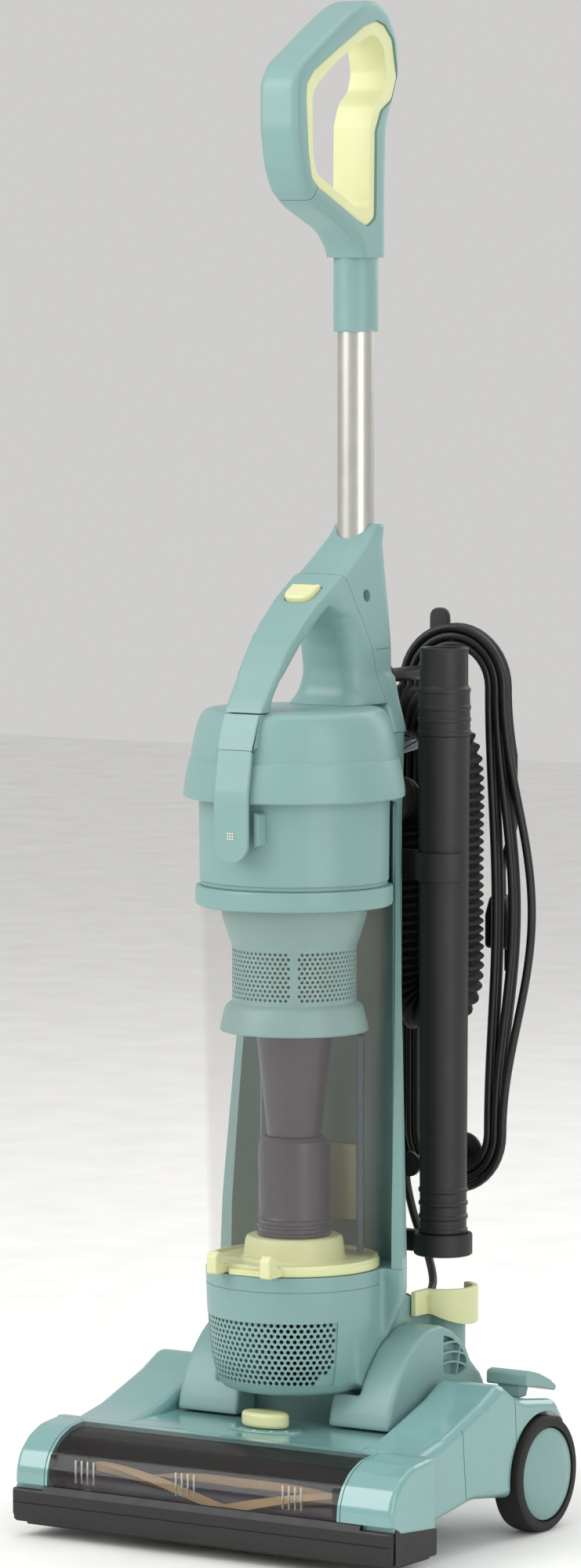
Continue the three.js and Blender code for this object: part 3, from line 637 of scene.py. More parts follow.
def make_base():
    nozzle = slab("base_casing", nozzle_outline(), "x", 1 - NOZZLE_HALF, NOZZLE_HALF - 1, 4, 5)
    deck = slab("deck", fillet([(-74, 12), (-6, 12), (-6, 80), (-40, 79), (-74, 78)], 3), "x", -96, 96, 0)
    tools = [deck]
    for side in (-1, 1):
        low, high = span(side, *ARM_BLOCK)
        outline = fillet([(-80, 27), (-60, 27), (0, 36), (53, 29), (112, 40), (123, 58), (122, 76),
            (110, 91), (60, 98), (35, 113), (10, 101), (-40, 84), (-80, 76)],
            [1, 10, 60, 25, 10, 8, 10, 14, 30, 14, 30, 60, 1], steps=8)
        tools.append(slab("arm", outline, "x", low, high, 7, 5, step=5))
    combine(nozzle, tools, "UNION")
    room = slab("nozzle_room", [(-121, 10), (-66, 10), (-66, 74.8), (-78, 74.8), (-98, 72.6), (-110, 67),
        (-120.3, 58), (-124.2, 47), (-124.6, 42), (-121, 41)], "x", 4 - NOZZLE_HALF, NOZZLE_HALF - 4, 0)
    deck_room = cuboid("deck_room", -93, 93, -74, -9, 10, 75)
    inside = slab("window_inside", [(-140, 36), (-83, 36), (-83, 90), (-140, 90)], "x", *WINDOW, 0)
    cutters = [room, deck_room, inside, *arm_cutters(-1), *arm_cutters(1)]
    cutters.append(cuboid("bumper_seat", -160, 160, -135, -124, 5, 38.4))
    # panel lines: beside the window, between nozzle and deck, and down each arm
    for x in (WINDOW[0] - 2.5, WINDOW[1] + 2.5):
        cutters.append(cuboid("line", x - 0.35, x + 0.35, -140, -78, 37, 90))
    for x in (-99, 99):
        cutters.append(slab("line", [(-76, 70), (-4, 88), (-4, 77.2), (-40, 77.2), (-76, 74)], "x",
            x - 0.4, x + 0.4, 0))
    cutters.append(cuboid("line", -150, 150, -77.2, -76.4, 76.9, 90))
    ahead_of_arm = [(-12, 20), (-11.2, 20), (-21.2, 120), (-22, 120)]
    ahead_of_wheel = [(56, 20), (56.8, 20), (50.8, 120), (50, 120)]
    for side in (-1, 1):
        for line in (ahead_of_arm, ahead_of_wheel):
            cutters.append(slab("line", line, "x", *span(side, 143.9, 150), 0))
    combine(nozzle, cutters)
    dress(nozzle, "gloss", "base", "base_shell", sharp=28)

    # dished seat round the height knob, with plain marks
    seat = slab("knob_seat", oval(KNOB_Y, 30, 17), "z", 78, 79.9, 0.8, 3)
    dress(seat, "gloss", "base")
    marks = []
    for i, angle in enumerate((-150, -120, -90, -60, -30)):
        a = math.radians(angle)
        centre = (25.5 * math.cos(a), KNOB_Y + 14.2 * math.sin(a))
        marks.append(rod(f"mark_{i}", 1.1, "z", 79.5, 80.15, centre, 16))
    dress(merged("knob_marks", marks), "pale", "base")
    knob = slab("knob", oval(KNOB_Y, 18.5, 10.5), "z", 80.2, 91.2, 3.2, 5)
    rib = slab("knob_rib", fillet([(-14, -48), (14, -48), (14, -42), (-14, -42)], 2.8), "z", 90, 91.6, 1.2, 3)
    dress(merged("height_dial", [knob, rib]), "yellow", "knob", "height_knob")

    # window with its moulded ribs
    window = slab("window", nozzle_outline(), "x", WINDOW[0] + 0.4, WINDOW[1] - 0.4, 0)
    combine(window, [slab("window_room", nozzle_outline(2.4), "x", WINDOW[0] - 9, WINDOW[1] + 9, 0),
        cuboid("below", -140, 140, -140, -60, 5, 38.8), cuboid("behind", -140, 140, -83.4, -40, 5, 90)])
    dress(window, "smoke", "base", "nozzle_window")
    ribs = []
    for start in (-106, -22, 66):
        for k in range(4):
            x = start + 5 * k
            ribs.append(cuboid(f"rib_{x}", x - 0.35, x + 0.35, -124.9, -123.4, 42, 58))
    dress(merged("window_ribs", ribs), "pale", "base")
    # painted shade: dark blocks inside the window's ends that stand for the shade in the nozzle
    bars = [cuboid("bar_a", 106, 111, -124, -84, 40, 60), cuboid("bar_b", -127.5, -124, -124, -84, 40, 60)]
    dress(merged("window_end_shade_blocks", bars), "hollow", "base")
    # painted shade: a dark sheet behind the brush that stands for the shade inside the nozzle
    liner = slab("nozzle_shade_liner", fillet([(-84, 30), (-79.5, 30), (-79.5, 73.5), (-99, 71), (-99, 69),
        (-84, 69)], 3), "x", -150, 150, 0.4, 2)
    dress(liner, "hollow", "base")

    bumper = slab("bumper", fillet([(-130, 17), (-130, 33), (-127.5, 38.2), (-124.4, 38.2), (-124.4, 11),
        (-127, 11)], 1.6), "x", -NOZZLE_HALF, NOZZLE_HALF, 2.5, 4)
    steps = [cuboid("dip", *span(side, 131, 160), -132, -122, 34.5, 42) for side in (-1, 1)]
    steps.append(cuboid("dip", -160, 160, -132, -129.2, 24.6, 25.6))
    combine(bumper, steps)
    dress(bumper, "black", "base", "front_bumper")
    side_strip = fillet([(-124, 11), (-71, 11), (-71, 29.5), (-116, 33), (-124, 38)], 2)
    ends = [slab("bumper_end", side_strip, "x", *span(side, 154.6, NOZZLE_HALF), 0.6, 2) for side in (-1, 1)]
    dress(merged("bumper_ends", ends), "black", "base")

    plan = fillet([(-152, -120), (152, -120), (152, -71), (94, -71), (94, -12), (-94, -12), (-94, -71),
        (-152, -71)], 3)
    sole = slab("sole", plan, "z", 8, 11.7, 0.6, 2)
    holes = [cuboid("mouth", -130, 130, -117, -84, 6, 14)]
    holes += [cuboid("slot", x - 12, x + 12, -50, -30, 6, 14) for x in (-62, 62)]
    combine(sole, holes)
    grid = [cuboid("grid", x - 1, x + 1, -117.5, -83.5, 8.6, 11.4) for x in (-78, -26, 26, 78)]
    dress(merged("sole_tray", [sole, *grid]), "black", "base", "soleplate")
    duct = slab("duct_box", fillet([(-26, 24), (26, 24), (26, 60), (-26, 60)], 6), "y", -66, -12, 0.5, 2)
    bore = slab("duct_bore", fillet([(-23, 27), (23, 27), (23, 57), (-23, 57)], 4), "y", -70, -8, 0)
    combine(duct, [bore])
    dress(duct, "duct", "base", "suction_duct")


def make_brush():
    """A turned roll with four rows of bristle tufts, each bent into a V."""
    y, z = BRUSH_AXIS
    core = lathe("roll_core", [(0, -137), (13, -137), (14, -135), (14, -122), (13, -121), (13, -109),
        (14, -108), (14, 135), (13, 137), (0, 137)], (y, z), "x", 48)
    tufts = []
    for row in range(4):
        for k in range(76):
            x = -102 + 3.05 * k
            sweep = 1 - abs(x - 14) / 118
            angle = math.pi / 2 * row + 1.5 * sweep
            tuft = lathe(f"tuft_{row}_{k}", [(0, 12), (2.2, 12), (3.6, 19.4), (0, 19.8)], (x, y), "z", 7)
            tuft.data.transform(Matrix.Translation((0, 0, z * MM)))
            tufts.append(turned(tuft, math.degrees(angle), "X", (x, y, z)))
    dress(core, "dark", "brush", "brush_roll")
    dress(merged("bristles", tufts), "bristle", "brush")
    for word, low in (("left", -152.7), ("right", 137.4)):
        bearing = lathe(f"bearing_{word}", [(0, low), (9, low), (10, low + 1), (10, low + 14),
            (9, low + 15.2), (0, low + 15.2)], (y, z), "x", 40)
        dress(bearing, "black", "base", f"brush_bearing_{word}")


def make_belt():
    """A loop round the motor pulley and the brush roll's groove."""
    flat, drop = BRUSH_AXIS[0] - PIVOT[0], BRUSH_AXIS[1] - PIVOT[1]
    lean = math.degrees(math.atan2(drop, flat))
    wrap = math.degrees(math.acos((MOTOR_PULLEY_R - BRUSH_PULLEY_R) / math.hypot(flat, drop)))

    def loop(extra):
        return (arc(*PIVOT, MOTOR_PULLEY_R + extra, lean + wrap, lean + 360 - wrap, 24) + arc(*BRUSH_AXIS,
            BRUSH_PULLEY_R + extra, lean - wrap, lean + wrap, 32))
    belt = slab("belt", loop(2.3), "x", -120, -110, 0.5, 2)
    combine(belt, [slab("belt_hole", loop(0.5), "x", -125, -105, 0)])
    dress(belt, "rubber", "base", "drive_belt")


def make_wheels():
    for word, s in (("left", -1), ("right", 1)):
        tyre = [(33.4, 128.4), (38, 128), (40.2, 129.2), (41, 132), (41, 146), (40.2, 148.8), (38, 150),
            (34, 150), (33.4, 149)]
        tread = lathe(f"tyre_{word}", [(r, s * h) for r, h in tyre], WHEEL, "x", 120, ring=True)
        dress(tread, "rubber", f"wheel_{word}", f"wheel_tyre_{word}")
        hub = [(4.4, 128.2), (32.6, 128.2), (33, 129), (33, 147.4), (32.2, 149), (31, 149.6),
            (30.4, 149.2), (29.6, 150), (24, 152.2), (15, 153.6), (0, 154), (0, 147.4), (4.4, 147.4)]
        cap = lathe(f"hub_{word}", [(r, s * h) for r, h in hub], WHEEL, "x", 96, ring=True)
        dress(cap, "teal", f"wheel_{word}", f"wheel_hub_{word}")
        low, high = span(s, 96, 146.5)
        axle = lathe(f"axle_{word}", [(0, low), (3.4, low), (4, low + 0.8), (4, high - 0.8), (3.4, high),
            (0, high)], WHEEL, "x", 32)
        dress(axle, "steel", "base", f"wheel_axle_{word}")
        roller = lathe(f"roller_{word}", [(0, -11.7), (2.5, -11.7), (2.5, -8), (7, -8), (8, -7), (8, -1),
            (7.5, -0.6), (7.5, 0.6), (8, 1), (8, 7), (7, 8), (2.5, 8), (2.5, 11.7), (0, 11.7)], (-40, 8),
            "x", 40)
        roller.data.transform(Matrix.Translation((s * ROLLER_X * MM, 0, 0)))
        dress(roller, "black", f"roller_{word}", f"front_roller_{word}")


def make_pedals():
    for name, side in (("release_pedal", 1), ("power_pedal", -1)):
        low, high = span(side, 104, 138)
        outline = fillet([(79.5, 103), (96, 101), (118.5, 95), (120.5, 98.4), (112, 104), (97, 110.4),
            (86, 113.4), (80, 112.4)], [2, 8, 1.5, 1.5, 6, 12, 4, 3])
        pad = slab(name + "_pad", outline, "x", low, high, 1.4, 4, step=3)
        stem = slab(name + "_stem", fillet([(82, 94), (92, 94), (96, 103), (82, 105)], 1.5), "x", low + 8,
            high - 8, 1, 2)
        ribs = [stem]
        for k in range(4):
            y = 91 + 6.0 * k
            z = 111.7 - 0.42 * (y - 91)
            ribs.append(slab(f"{name}_rib_{k}", fillet([(y - 1.3, z - 3), (y + 1.3, z - 3.4),
                (y + 1.3, z + 0.4), (y - 1.3, z + 0.9)], 0.9), "x", low + 5, high - 5, 0.8, 3))
        dress(merged(name + "_top", [pad, *ribs]), "teal", name, name)


# ---------- upright body ----------
HOUSING_TOP = 189.2
POT_SIDE = [(104, 44), (107, 50), (112, 54.3), (125, 57.8), (150, 60.4), (HOUSING_TOP, 62)]  # height, radius
GRILLE_DOWN_TO = 8  # rows from the top before the grille's lower corners round off
PARTING = [(63, 581.3), (61, 589), (58, 600), (54.5, 613), (49.5, 626), (43, 638), (35, 651.5), (26, 668)]


def radial_holes(name, radius, start, stop, spots, centre=(0, CUP_Y), sides=10):
    """One mesh of many short rods pointing out from an upright axis; spots are (degrees, height)."""
    verts, faces = [], []
    for degrees, z in spots:
        a = math.radians(degrees)
        out, across = Vector((math.cos(a), math.sin(a), 0)), Vector((-math.sin(a), math.cos(a), 0))
        base = len(verts)
        for reach in (start, stop):
            for k in range(sides):
                t = 2 * math.pi * k / sides
                verts.append(Vector((*centre, z)) + out * reach + across * (radius * math.cos(t))
                    + Vector((0, 0, radius * math.sin(t))))
        faces += [tuple(base + k for k in range(sides)), tuple(base + sides + k for k in range(sides))]
        faces += [(base + k, base + (k + 1) % sides, base + sides + (k + 1) % sides, base + sides + k)
            for k in range(sides)]
    return to_mesh(name, verts, faces)


FAN_R = 80
COVER_LINE = [(1, 81), *arc(*PIVOT, FAN_R, 172, 108, 24), (46, 147), (61, 141.5), (73, 133.5), (80, 127),
    (86, 117), *arc(*PIVOT, 57, 40, -188, 48)]


def make_housing():
    rim = [(44, 104), (50.5, 106), (54.8, 112), (58, 125), (60.6, 150), (61.6, 172), (62.2, 191), (0, 191)]
    pot = lathe("motor_housing", [(0, 104), *rim], (0, CUP_Y), sides=144)
    block = slab("rear_block", [(-18, 188), (-18, 112), (3, 101), *arc(*PIVOT, 50, 175, 375, 40),
        (102, 100), (88, 126), (88, 152)], "x", -59.4, 59.4, 0)
    collar = lathe("collar", [(0, 140), (66, 140), (76, 162), (79, 172), (79, 191), (0, 191)], (0, CUP_Y))
    combine(collar, [cuboid("collar_keep", -90, 90, 13, 90, 130, 200)], "INTERSECT")
    back = loft("collar_back", [rounded_section(36, 20, 88, 4, 16, z) for z in (130, 191)])
    post = combine(rod("post", 16, "z", 112, 150, WAND, 64), [slab("post_trim", COVER_LINE, "x", 59, 90, 0)])
    combine(pot, [block, collar, back, post], "UNION")
    melted(pot, 1.6, 7)
    combine(pot, [cuboid("top_trim", -100, 100, -100, 120, HOUSING_TOP, 210)])
    angles = (-153, -27)
    outer = lathe("band", [(stepped(POT_SIDE, z) + grow, z) for grow, zs in ((-1.1, range(112, 159, 3)),
        (6, range(157, 109, -3))) for z in zs], (0, CUP_Y), sides=144, ring=True)
    wedge = slab("wedge", [(0, CUP_Y), *arc(0, CUP_Y, 90, *angles, 30)], "z", 100, 170, 0)
    combine(outer, [wedge], "INTERSECT")
    room = lathe("filter_room", [(0, 116), (49, 116), (52.5, 125), (54, 150), (54, 164), (50, 180),
        (0, 180)], (0, CUP_Y), sides=96)
    spots = []
    for row in range(12):
        z = 155.5 - 3.75 * row
        for k in range(27):
            degrees = -150 + 4.55 * k + (2.27 if row % 2 else 0)
            step_in = row - GRILLE_DOWN_TO
            low_corner = step_in > 0 and (k < step_in or k > 26 - step_in)
            if degrees < -29 and not low_corner:
                spots.append((degrees, z))
    holes = radial_holes("grille_holes", 1.5, 45, 70, spots)
    motor_room = rod("motor_room", 46, "x", -56, 64, PIVOT, 64)
    seam = lathe("seam", [(61.3, 178.6), (64, 178.6), (64, 179.2), (61.3, 179.2)], (0, CUP_Y), sides=96,
        ring=True)
    front = cuboid("front", -80, 80, -90, 8, 170, 185)
    combine(seam, [front], "INTERSECT")
    combine(pot, [outer, room, holes, motor_room, seam])
    dress(pot, "teal", "upright", "lower_housing", "exhaust_grille", sharp=30)
    # partly real, partly painted shade: the pleats stand for the exhaust filter, but their dark teal is the
    # painted shade behind the grille
    pleats = lathe("exhaust_pleats", [(30, 126), (46, 126), (46, 176), (30, 176)], (0, CUP_Y), sides=120,
        ring=True, flute=lambda a, h: 1 + 0.02 * math.cos(30 * a))
    dress(pleats, "hollow", "upright", "exhaust_filter")

    for word, s in (("left", -1), ("right", 1)):
        cover = slab(f"cover_{word}", COVER_LINE, "x", *span(s, 60, 88.4), 0)
        cheek = slab("cheek", [(1.5, 81), *arc(*PIVOT, FAN_R, 172, 155, 8), (1.5, 99.6)], "x",
            *span(s, 38, 64), 0)
        combine(cover, [cheek], "UNION")
        melted(cover, 1.5, 8)
        pocket = slab("pocket", fillet([(48, 140), (60, 136), (70, 129.5), (78, 120), (80.5, 112),
            (66, 109), (48, 113)], 2), "x", *span(s, 83.5, 92), 0)
        ribs = [slab("rib", [*arc(*PIVOT, radius, 20, 110, 20), *arc(*PIVOT, radius + 1.4, 110, 20, 20)],
            "x", *span(s, 83, 92), 0) for radius in (49, 56, 63)]
        ribs += [slab("ray", [(PIVOT[0] + q * math.cos(t) - e * math.sin(t),
            PIVOT[1] + q * math.sin(t) + e * math.cos(t)) for q, e in ((30, -0.7), (90, -0.7), (90, 0.7),
            (30, 0.7))], "x", *span(s, 83, 92), 0) for t in (math.radians(62), math.radians(75))]
        combine(pocket, ribs)
        hub = rod("hub", 11.8, "x", *span(s, 80, 100.3), PIVOT, 64)
        combine(combine(cover, [pocket]), [hub], "UNION")
        combine(cover, [rod("hub_bore", 8, "x", *span(s, 50, 110), PIVOT, 48)])
        dress(cover, "teal", "upright", f"side_cover_{word}", sharp=34)

    can = lathe("can", [(4.6, -50), (40, -50), (42, -48), (42, -20), (41.2, -19), (41.2, -15), (42, -14),
        (42, 48), (40, 50), (4.6, 50)], PIVOT, "x", 64, ring=True)
    dress(can, "steel", "upright", "motor_can")
    shaft = lathe("shaft", [(0, -121), (4, -121), (4, -120.5), (7.2, -120.4), (6, -119), (6, -111),
        (7.2, -109.6), (4, -109.5), (4, 52), (8, 52), (8, 54), (38, 54), (38, 55), (8, 55), (8, 58),
        (0, 58)], PIVOT, "x", 64)
    dress(shaft, "steel", "rotor", "motor_rotor")


def make_spine():
    wall = lathe("spine", [(0, 189.5), (79, 189.5), (77.5, 260), (74.5, 400), (72.6, 500), (72.6, 560),
        (0, 560)], (0, CUP_Y), sides=160)
    column = loft("spine_column", [rounded_section(36 + (2 if z > 520 else 0), 20, 88, 4, 17, z)
        for z in (189.5, 300, 420, 500, 560)])
    combine(wall, [column], "UNION")
    side_view = fillet([(13, 186), (14, 230), (22, 330), (30, 420), (36, 500), (50, 562), (95, 562),
        (95, 186)], [2, 60, 120, 120, 60, 2, 1, 1], steps=8)
    keep = slab("keep_side", side_view, "x", -85, 85, 0)
    front_view = fillet([(-80, 180), (80, 180), (76, 440), (56, 530), (38, 561), (-38, 561), (-56, 530),
        (-76, 440)], [1, 1, 90, 50, 4, 4, 50, 90])
    keep_front = slab("keep_front", front_view, "y", 0, 100, 0)
    combine(wall, [keep, keep_front], "INTERSECT")
    cutters = [rod("cup_room", 70.3, "z", 180, 516, (0, CUP_Y), 128),
        rod("lid_room", 78.6, "z", 514, 570, (0, CUP_Y), 128), cuboid("duct", -20, 26, 66, 83, 180, 532),
        rod("port", 15, "y", 74, 92, (8, 510), 48)]
    for z in (300, 420):
        cutters.append(cuboid("line", -18, 18, 87.3, 90, z, z + 0.7))
    cutters += [cuboid("line", x - 0.4, x + 0.4, 87.2, 90, 200, 555) for x in (-18, 18)]
    combine(wall, cutters)
    dress(wall, "teal", "upright", "spine_channel", sharp=30)
    lining = combine(lathe("channel_lining", [(69, 206), (70.1, 206), (70.1, 512), (69, 512)], (0, CUP_Y),
        sides=128, ring=True), [cuboid("half", -60, 60, 34, 70, 200, 520)], "INTERSECT")
    dress(lining, "teal", "upright")


STRAP_OVER = [(24, 673), (9, 664), (-6, 655), (-24, 641), (-40, 626.6), (-51, 612.5), (-61.5, 598.5),
    (-68, 590), (-74.6, 580.6)]
STRAP_UNDER = [(-61.5, 580.6), (-60, 588), (-56.5, 594), (-49, 603.5), (-37, 615.5), (-17.6, 634),
    (-4, 644), (10, 652)]
NECK_GROOVE = 619
HANDLE_Y = 71.5  # the handle tube's axis
NECK_HALF = [(560, 38), (572, 34.5), (582, 31.5), (600, 27.5), (640, 24.5), (672, 21.5), (706, 19)]


def neck_body():
    """The hood, the column and the strap in one skin, before they are parted."""
    front = [(580, 26), (590, 31), (606, 32), (622, 29), (634, 24), (644, 16), (652, 6), (658, 2),
        (664, 9), (673, 24), (682, 38), (696, 58), (705, 68)]
    back = [(560, 88), (610, 88), (660, 87), (690, 86), (705, 85)]
    hood = loft("neck", [rounded_section(stepped(NECK_HALF, z), 64, stepped(back, z), 5, 15, z)
        for z in (558, 566, 572, 578, 582, 590, 600)])
    column = []
    for k in range(43):
        z = 580 + 3 * k
        flare = 5 * max(0, (590 - z) / 10) ** 2
        ahead = stepped(front, z) - flare
        column.append(rounded_section(stepped(NECK_HALF, z) - 1.5 * max(0, 1 - abs(z - 600) / 20), ahead,
            stepped(back, z), 11 + (5 if z < 645 else 0), 15, z))
    strap = slab("strap", fillet(STRAP_OVER + STRAP_UNDER + [(28, 655)],
        [1, *[30] * 7, 1, 1, 8, 20, 30, 40, 40, 20, 5, 1], steps=4), "x", -18, 18, 0, step=3,
        width=lambda y, z: (15.6 + 4.6 * min(1, max(0, (z - 585) / 80))) / 18)
    combine(hood, [loft("column", column), strap], "UNION")
    return melted(hood, 1.4, 9)


def make_neck():
    line = [(63.4, 560), *PARTING, (21, 678), (14, 690)]
    behind = [*line, (14, 720), (110, 720), (110, 560.3), (63.4, 560.3)]
    shell = neck_body()
    handle = linked("carry_strap", shell.data.copy())
    combine(shell, [slab("behind", [(y + 0.45, z) for y, z in behind], "x", -60, 60, 0)], "INTERSECT")
    ahead = [*line[1:], (14, 720), (-120, 720), (-120, 581.1), (62.8, 581.1)]
    combine(handle, [slab("ahead", ahead, "x", -60, 60, 0)], "INTERSECT")
    finish_handle(handle)
    cutters = [rod("bore", 13.3, "z", 639.7, 730, (0, HANDLE_Y), 64),
        rod("screw_hole", 4.4, "x", 19, 40, (50, 657), 32), rod("screw_hole_b", 4.4, "x", -40, -19,
        (50, 657), 32)]
    z = NECK_GROOVE
    core = loft("groove_core", [rounded_section(stepped(NECK_HALF, z) - 0.9, 40, 87.2, 5, 14.4, h)
        for h in (z - 2, z + 2)])
    cutters.append(combine(cuboid("groove", -45, 45, 58, 95, z - 0.4, z + 0.4), [core]))
    combine(shell, cutters)
    dress(shell, "teal", "upright", "neck_hood", sharp=34)
    screws = [lathe(f"neck_screw_{s}", [(0, s * 18.6), (3.4, s * 18.6), (3.4, s * 19.4), (1.6, s * 19.9),
        (1.2, s * 19.2), (0, s * 19.2)], (50, 657), "x", 32) for s in (-1, 1)]
    dress(merged("neck_screws", screws), "steel", "upright")
    tube = lathe("tube", [(0, 640), (13, 640), (13, 872), (0, 872)], (0, HANDLE_Y), sides=96)
    dress(tube, "metal", "upright", "handle_tube")


GRIP_OUTER = [(-30, 982), (-30, 1013), (-21, 1027), (20, 1051), (45, 1065), (60, 1071), (76, 1073),
    (92, 1065), (104, 1046), (106, 1024), (97, 1003), (89, 985), (87.2, 940), (87.2, 841), (55.8, 841),
    (55.8, 896), (40, 911), (0, 927), (-16, 938), (-25, 955)]
GRIP_RADII = [25, 14, 20, 60, 60, 30, 25, 25, 25, 25, 20, 40, 60, 1, 1, 24, 30, 50, 20, 30]
LINER_OUTER = [(-8, 1022), (-17, 1013), (-18, 1003), (-15, 966), (-11, 948), (-2, 941), (50, 918),
    (62, 914), (73, 920), (74, 981), (81, 995), (95, 1003), (102, 1019), (96, 1046), (85, 1056),
    (74, 1059), (58, 1055), (23, 1038)]
LINER_HOLE = [(-8, 1006), (-7.5, 966), (-3, 951), (50, 927), (60, 924), (65, 930), (66, 985), (72, 1000),
    (84, 1009), (88, 1022), (84, 1040), (74, 1049), (60, 1046), (25, 1030), (0, 1014)]


def make_grip():
    blank = slab("grip", fillet(GRIP_OUTER, GRIP_RADII, steps=10), "x", -16.3, 16.3, 5, 5, step=3)
    melted(blank, 1.5, 14)
    sleeve = combine(cuboid("sleeve_trim", -20, 20, 50, 95, 830, 893),
        [rod("sleeve", 15.8, "z", 820, 900, (0, HANDLE_Y), 96)])
    liner_cut = slab("liner_cut", inset(even(fillet(LINER_OUTER, 8)[::-1], 3), -0.25), "x", -20, 20, 0)
    cutters = [sleeve, liner_cut, rod("bore", 13.3, "z", 830, 872.3, (0, HANDLE_Y), 64)]
    combine(blank, cutters)
    seams = [slab("seam", [(96, 1052), (112, 1062), (111.6, 1062.7), (95.6, 1052.7)], "x", -20, 20, 0),
        slab("seam", [(-3, 944), (-12, 926), (-11.4, 925.7), (-2.4, 943.7)], "x", -20, 20, 0)]
    combine(blank, seams)
    dress(blank, "teal", "upright", "grip_frame", sharp=34)
    liner = slab("liner", fillet(LINER_OUTER, 8), "x", -15, 15, 2.2, 4, step=3)
    hole = slab("liner_hole", even(fillet(LINER_HOLE, 12), 3), "x", -20, 20, 0)
    combine(liner, [hole])
    dress(liner, "yellow", "upright", "grip_liner", sharp=34)


# ---------- dust cup ----------
LID_FACE = CUP_Y - 77.8
HINGE = (CUP_Y - 66.7, 201)


def make_cup():
    centre = (0, CUP_Y)
    wall = lathe("cup_wall", [(57.5, 198), (57.8, 197.3), (59.6, 197.3), (60, 198), (61.2, 246), (66, 442),
        (65.5, 443), (64, 443), (63.5, 442), (58.7, 246)], centre, sides=144, ring=True)
    shelf = slab("shelf", fillet([(-17.7, HINGE[0] - 2), (17.7, HINGE[0] - 2), (17.7, CUP_Y - 58.4),
        (-17.7, CUP_Y - 58.4)], 2), "z", 199, 203, 0.8, 2)
    bar = rod("bar", 3.4, "x", -17.7, 17.7, HINGE, 32)
    combine(wall, [shelf, bar], "UNION")
    dress(wall, "cup", "cup", "dust_cup")
    disc = lathe("door", [(0, 189.5), (59.4, 189.5), (60, 190.2), (60, 194.6), (59.2, 195.2),
        (58.8, 196.9), (57, 196.9), (55, 195), (37, 195), (35.5, 197), (34.5, 207), (33.6, 210), (32, 211),
        (25, 211), (24, 209), (0, 209)], centre, sides=128)
    lugs = []
    for x0 in (-26, 18):
        loop = fillet([(HINGE[0] - 5.5, 190), (HINGE[0] + 12, 190), (HINGE[0] + 12, 196.6),
            (HINGE[0] + 4.6, 197), (HINGE[0] + 4.4, 204), (HINGE[0] - 2, 206.5), (HINGE[0] - 5.5, 203)], 2.4)
        lugs.append(slab("lug", loop, "x", x0, x0 + 8, 1, 3))
    tab = slab("tab", fillet([(-14, CUP_Y - 62.6), (14, CUP_Y - 62.6), (14, CUP_Y - 57),
        (-14, CUP_Y - 57)], 1.5), "z", 189.6, 194, 0.8, 2)
    dress(merged("door_set", [disc, *lugs, tab]), "yellow", "cup_door", "cup_door")
    ribs = [cuboid("latch_rib", -9, 9, 54.0, 58.4, z, z + 1.6) for z in (222, 230, 238, 256)]
    lever = slab("lever", fillet([(54.4, 214), (57.5, 214), (58, 262), (57, 268), (55.2, 267)], 1), "x",
        -10.5, 10.5, 0.8, 2)
    dress(merged("latch_lever", [lever, *ribs]), "yellow", "door_latch", "door_latch")

    can = lathe("canister", [(0, 211.3), (25, 211.3), (26, 212), (26.3, 214), (25, 215), (25, 217),
        (26.3, 218), (26.3, 219.5), (25, 220.5), (25, 223), (26.2, 224), (25, 226), (25.4, 272),
        (24.2, 278), (21, 281), (0, 281)], centre, sides=96)
    dress(can, "dark", "cup", "inner_canister")
    cone = lathe("cone", [(0, 281.3), (18.6, 281.3), (19, 282), (19.4, 286), (26.7, 354.6), (0, 355)],
        centre, sides=96)
    dress(cone, "dark", "cup", "cyclone_cone")
    shroud = lathe("shroud", [(27, 355.3), (51.2, 355.3), (52, 356.2), (51.4, 360), (50, 366), (48.4, 372),
        (46, 374.6), (43.8, 376), (43.5, 378), (43.5, 414), (44.2, 417), (46, 421), (50.6, 436), (51, 442),
        (50.4, 443), (44, 443), (43, 436), (41, 419), (40.5, 414), (40.5, 379), (27, 373)], centre,
        sides=144, ring=True)
    spots = []
    for row in range(11):
        for k in range(72):
            degrees = 5.0 * k + (2.5 if row % 2 else 0)
            if (degrees + 60) % 90 > 6:
                spots.append((degrees, 380.2 + 3.2 * row))
    combine(shroud, [radial_holes("shroud_holes", 1.15, 38, 46, spots, sides=8)])
    dress(shroud, "teal", "cup", "cyclone_shroud", sharp=30)
    # painted shade: a dark ring behind the shroud's holes that stands for the shade inside the shroud
    core = lathe("shroud_shade_core", [(30, 376), (38.5, 380), (38.5, 418), (38, 440), (30, 440)], centre,
        sides=64, ring=True)
    dress(core, "hollow", "cup")
    # partly real, partly painted: a dark panel inside the cup whose slate colour also paints the shade and
    # reflection on the spine's inner face
    back = slab("back_panel_and_shade", fillet([(-36, 16), (-10, 28), (-10, 42), (-24, 44), (-40, 32)], 4), "z",
        197.6, 352, 1.5, 3)
    dress(back, "duct", "cup")
    side_rib = slab("side_rib", fillet([(34, 20), (38, 22), (30, 36), (26, 34)], 1), "z", 197.6, 350, 0.8, 2)
    dress(side_rib, "duct", "cup")

    ring = lathe("ring", [(30, 443.3), (66.6, 443.3), (68.2, 444.2), (69, 446), (69, 455.4), (68.4, 457.4),
        (67, 458), (30, 458)], centre, sides=144, ring=True)
    dress(ring, "teal", "cup", "cup_ring")
    chamber = lathe("chamber", [(30, 458.3), (65.2, 458.3), (65.2, 460.5), (66, 461.5), (66.4, 500),
        (66.6, 518.7), (62, 518.7), (62, 462), (30, 462)], centre, sides=144, ring=True)
    dress(chamber, "teal", "cup", "filter_chamber")
    foam = lathe("foam_block", [(0, 462.4), (57, 462.4), (58, 463.4), (58, 511), (57, 512), (0, 512)],
        centre, sides=72)
    dress(foam, "foam", "cup", "foam_filter")
    lid = lathe("lid", [(0, 519), (75.8, 519), (77.2, 520), (77.2, 523), (76.4, 530), (74.9, 538),
        (73.8, 543.6), (73.1, 546.2), (72.2, 546.9), (71.9, 548), (71.6, 552), (70.2, 560), (67.8, 570),
        (65.4, 576), (63, 579), (60, 580.6), (56, 581), (0, 581)], centre, sides=160)
    dress(lid, "teal", "cup", "cup_lid")


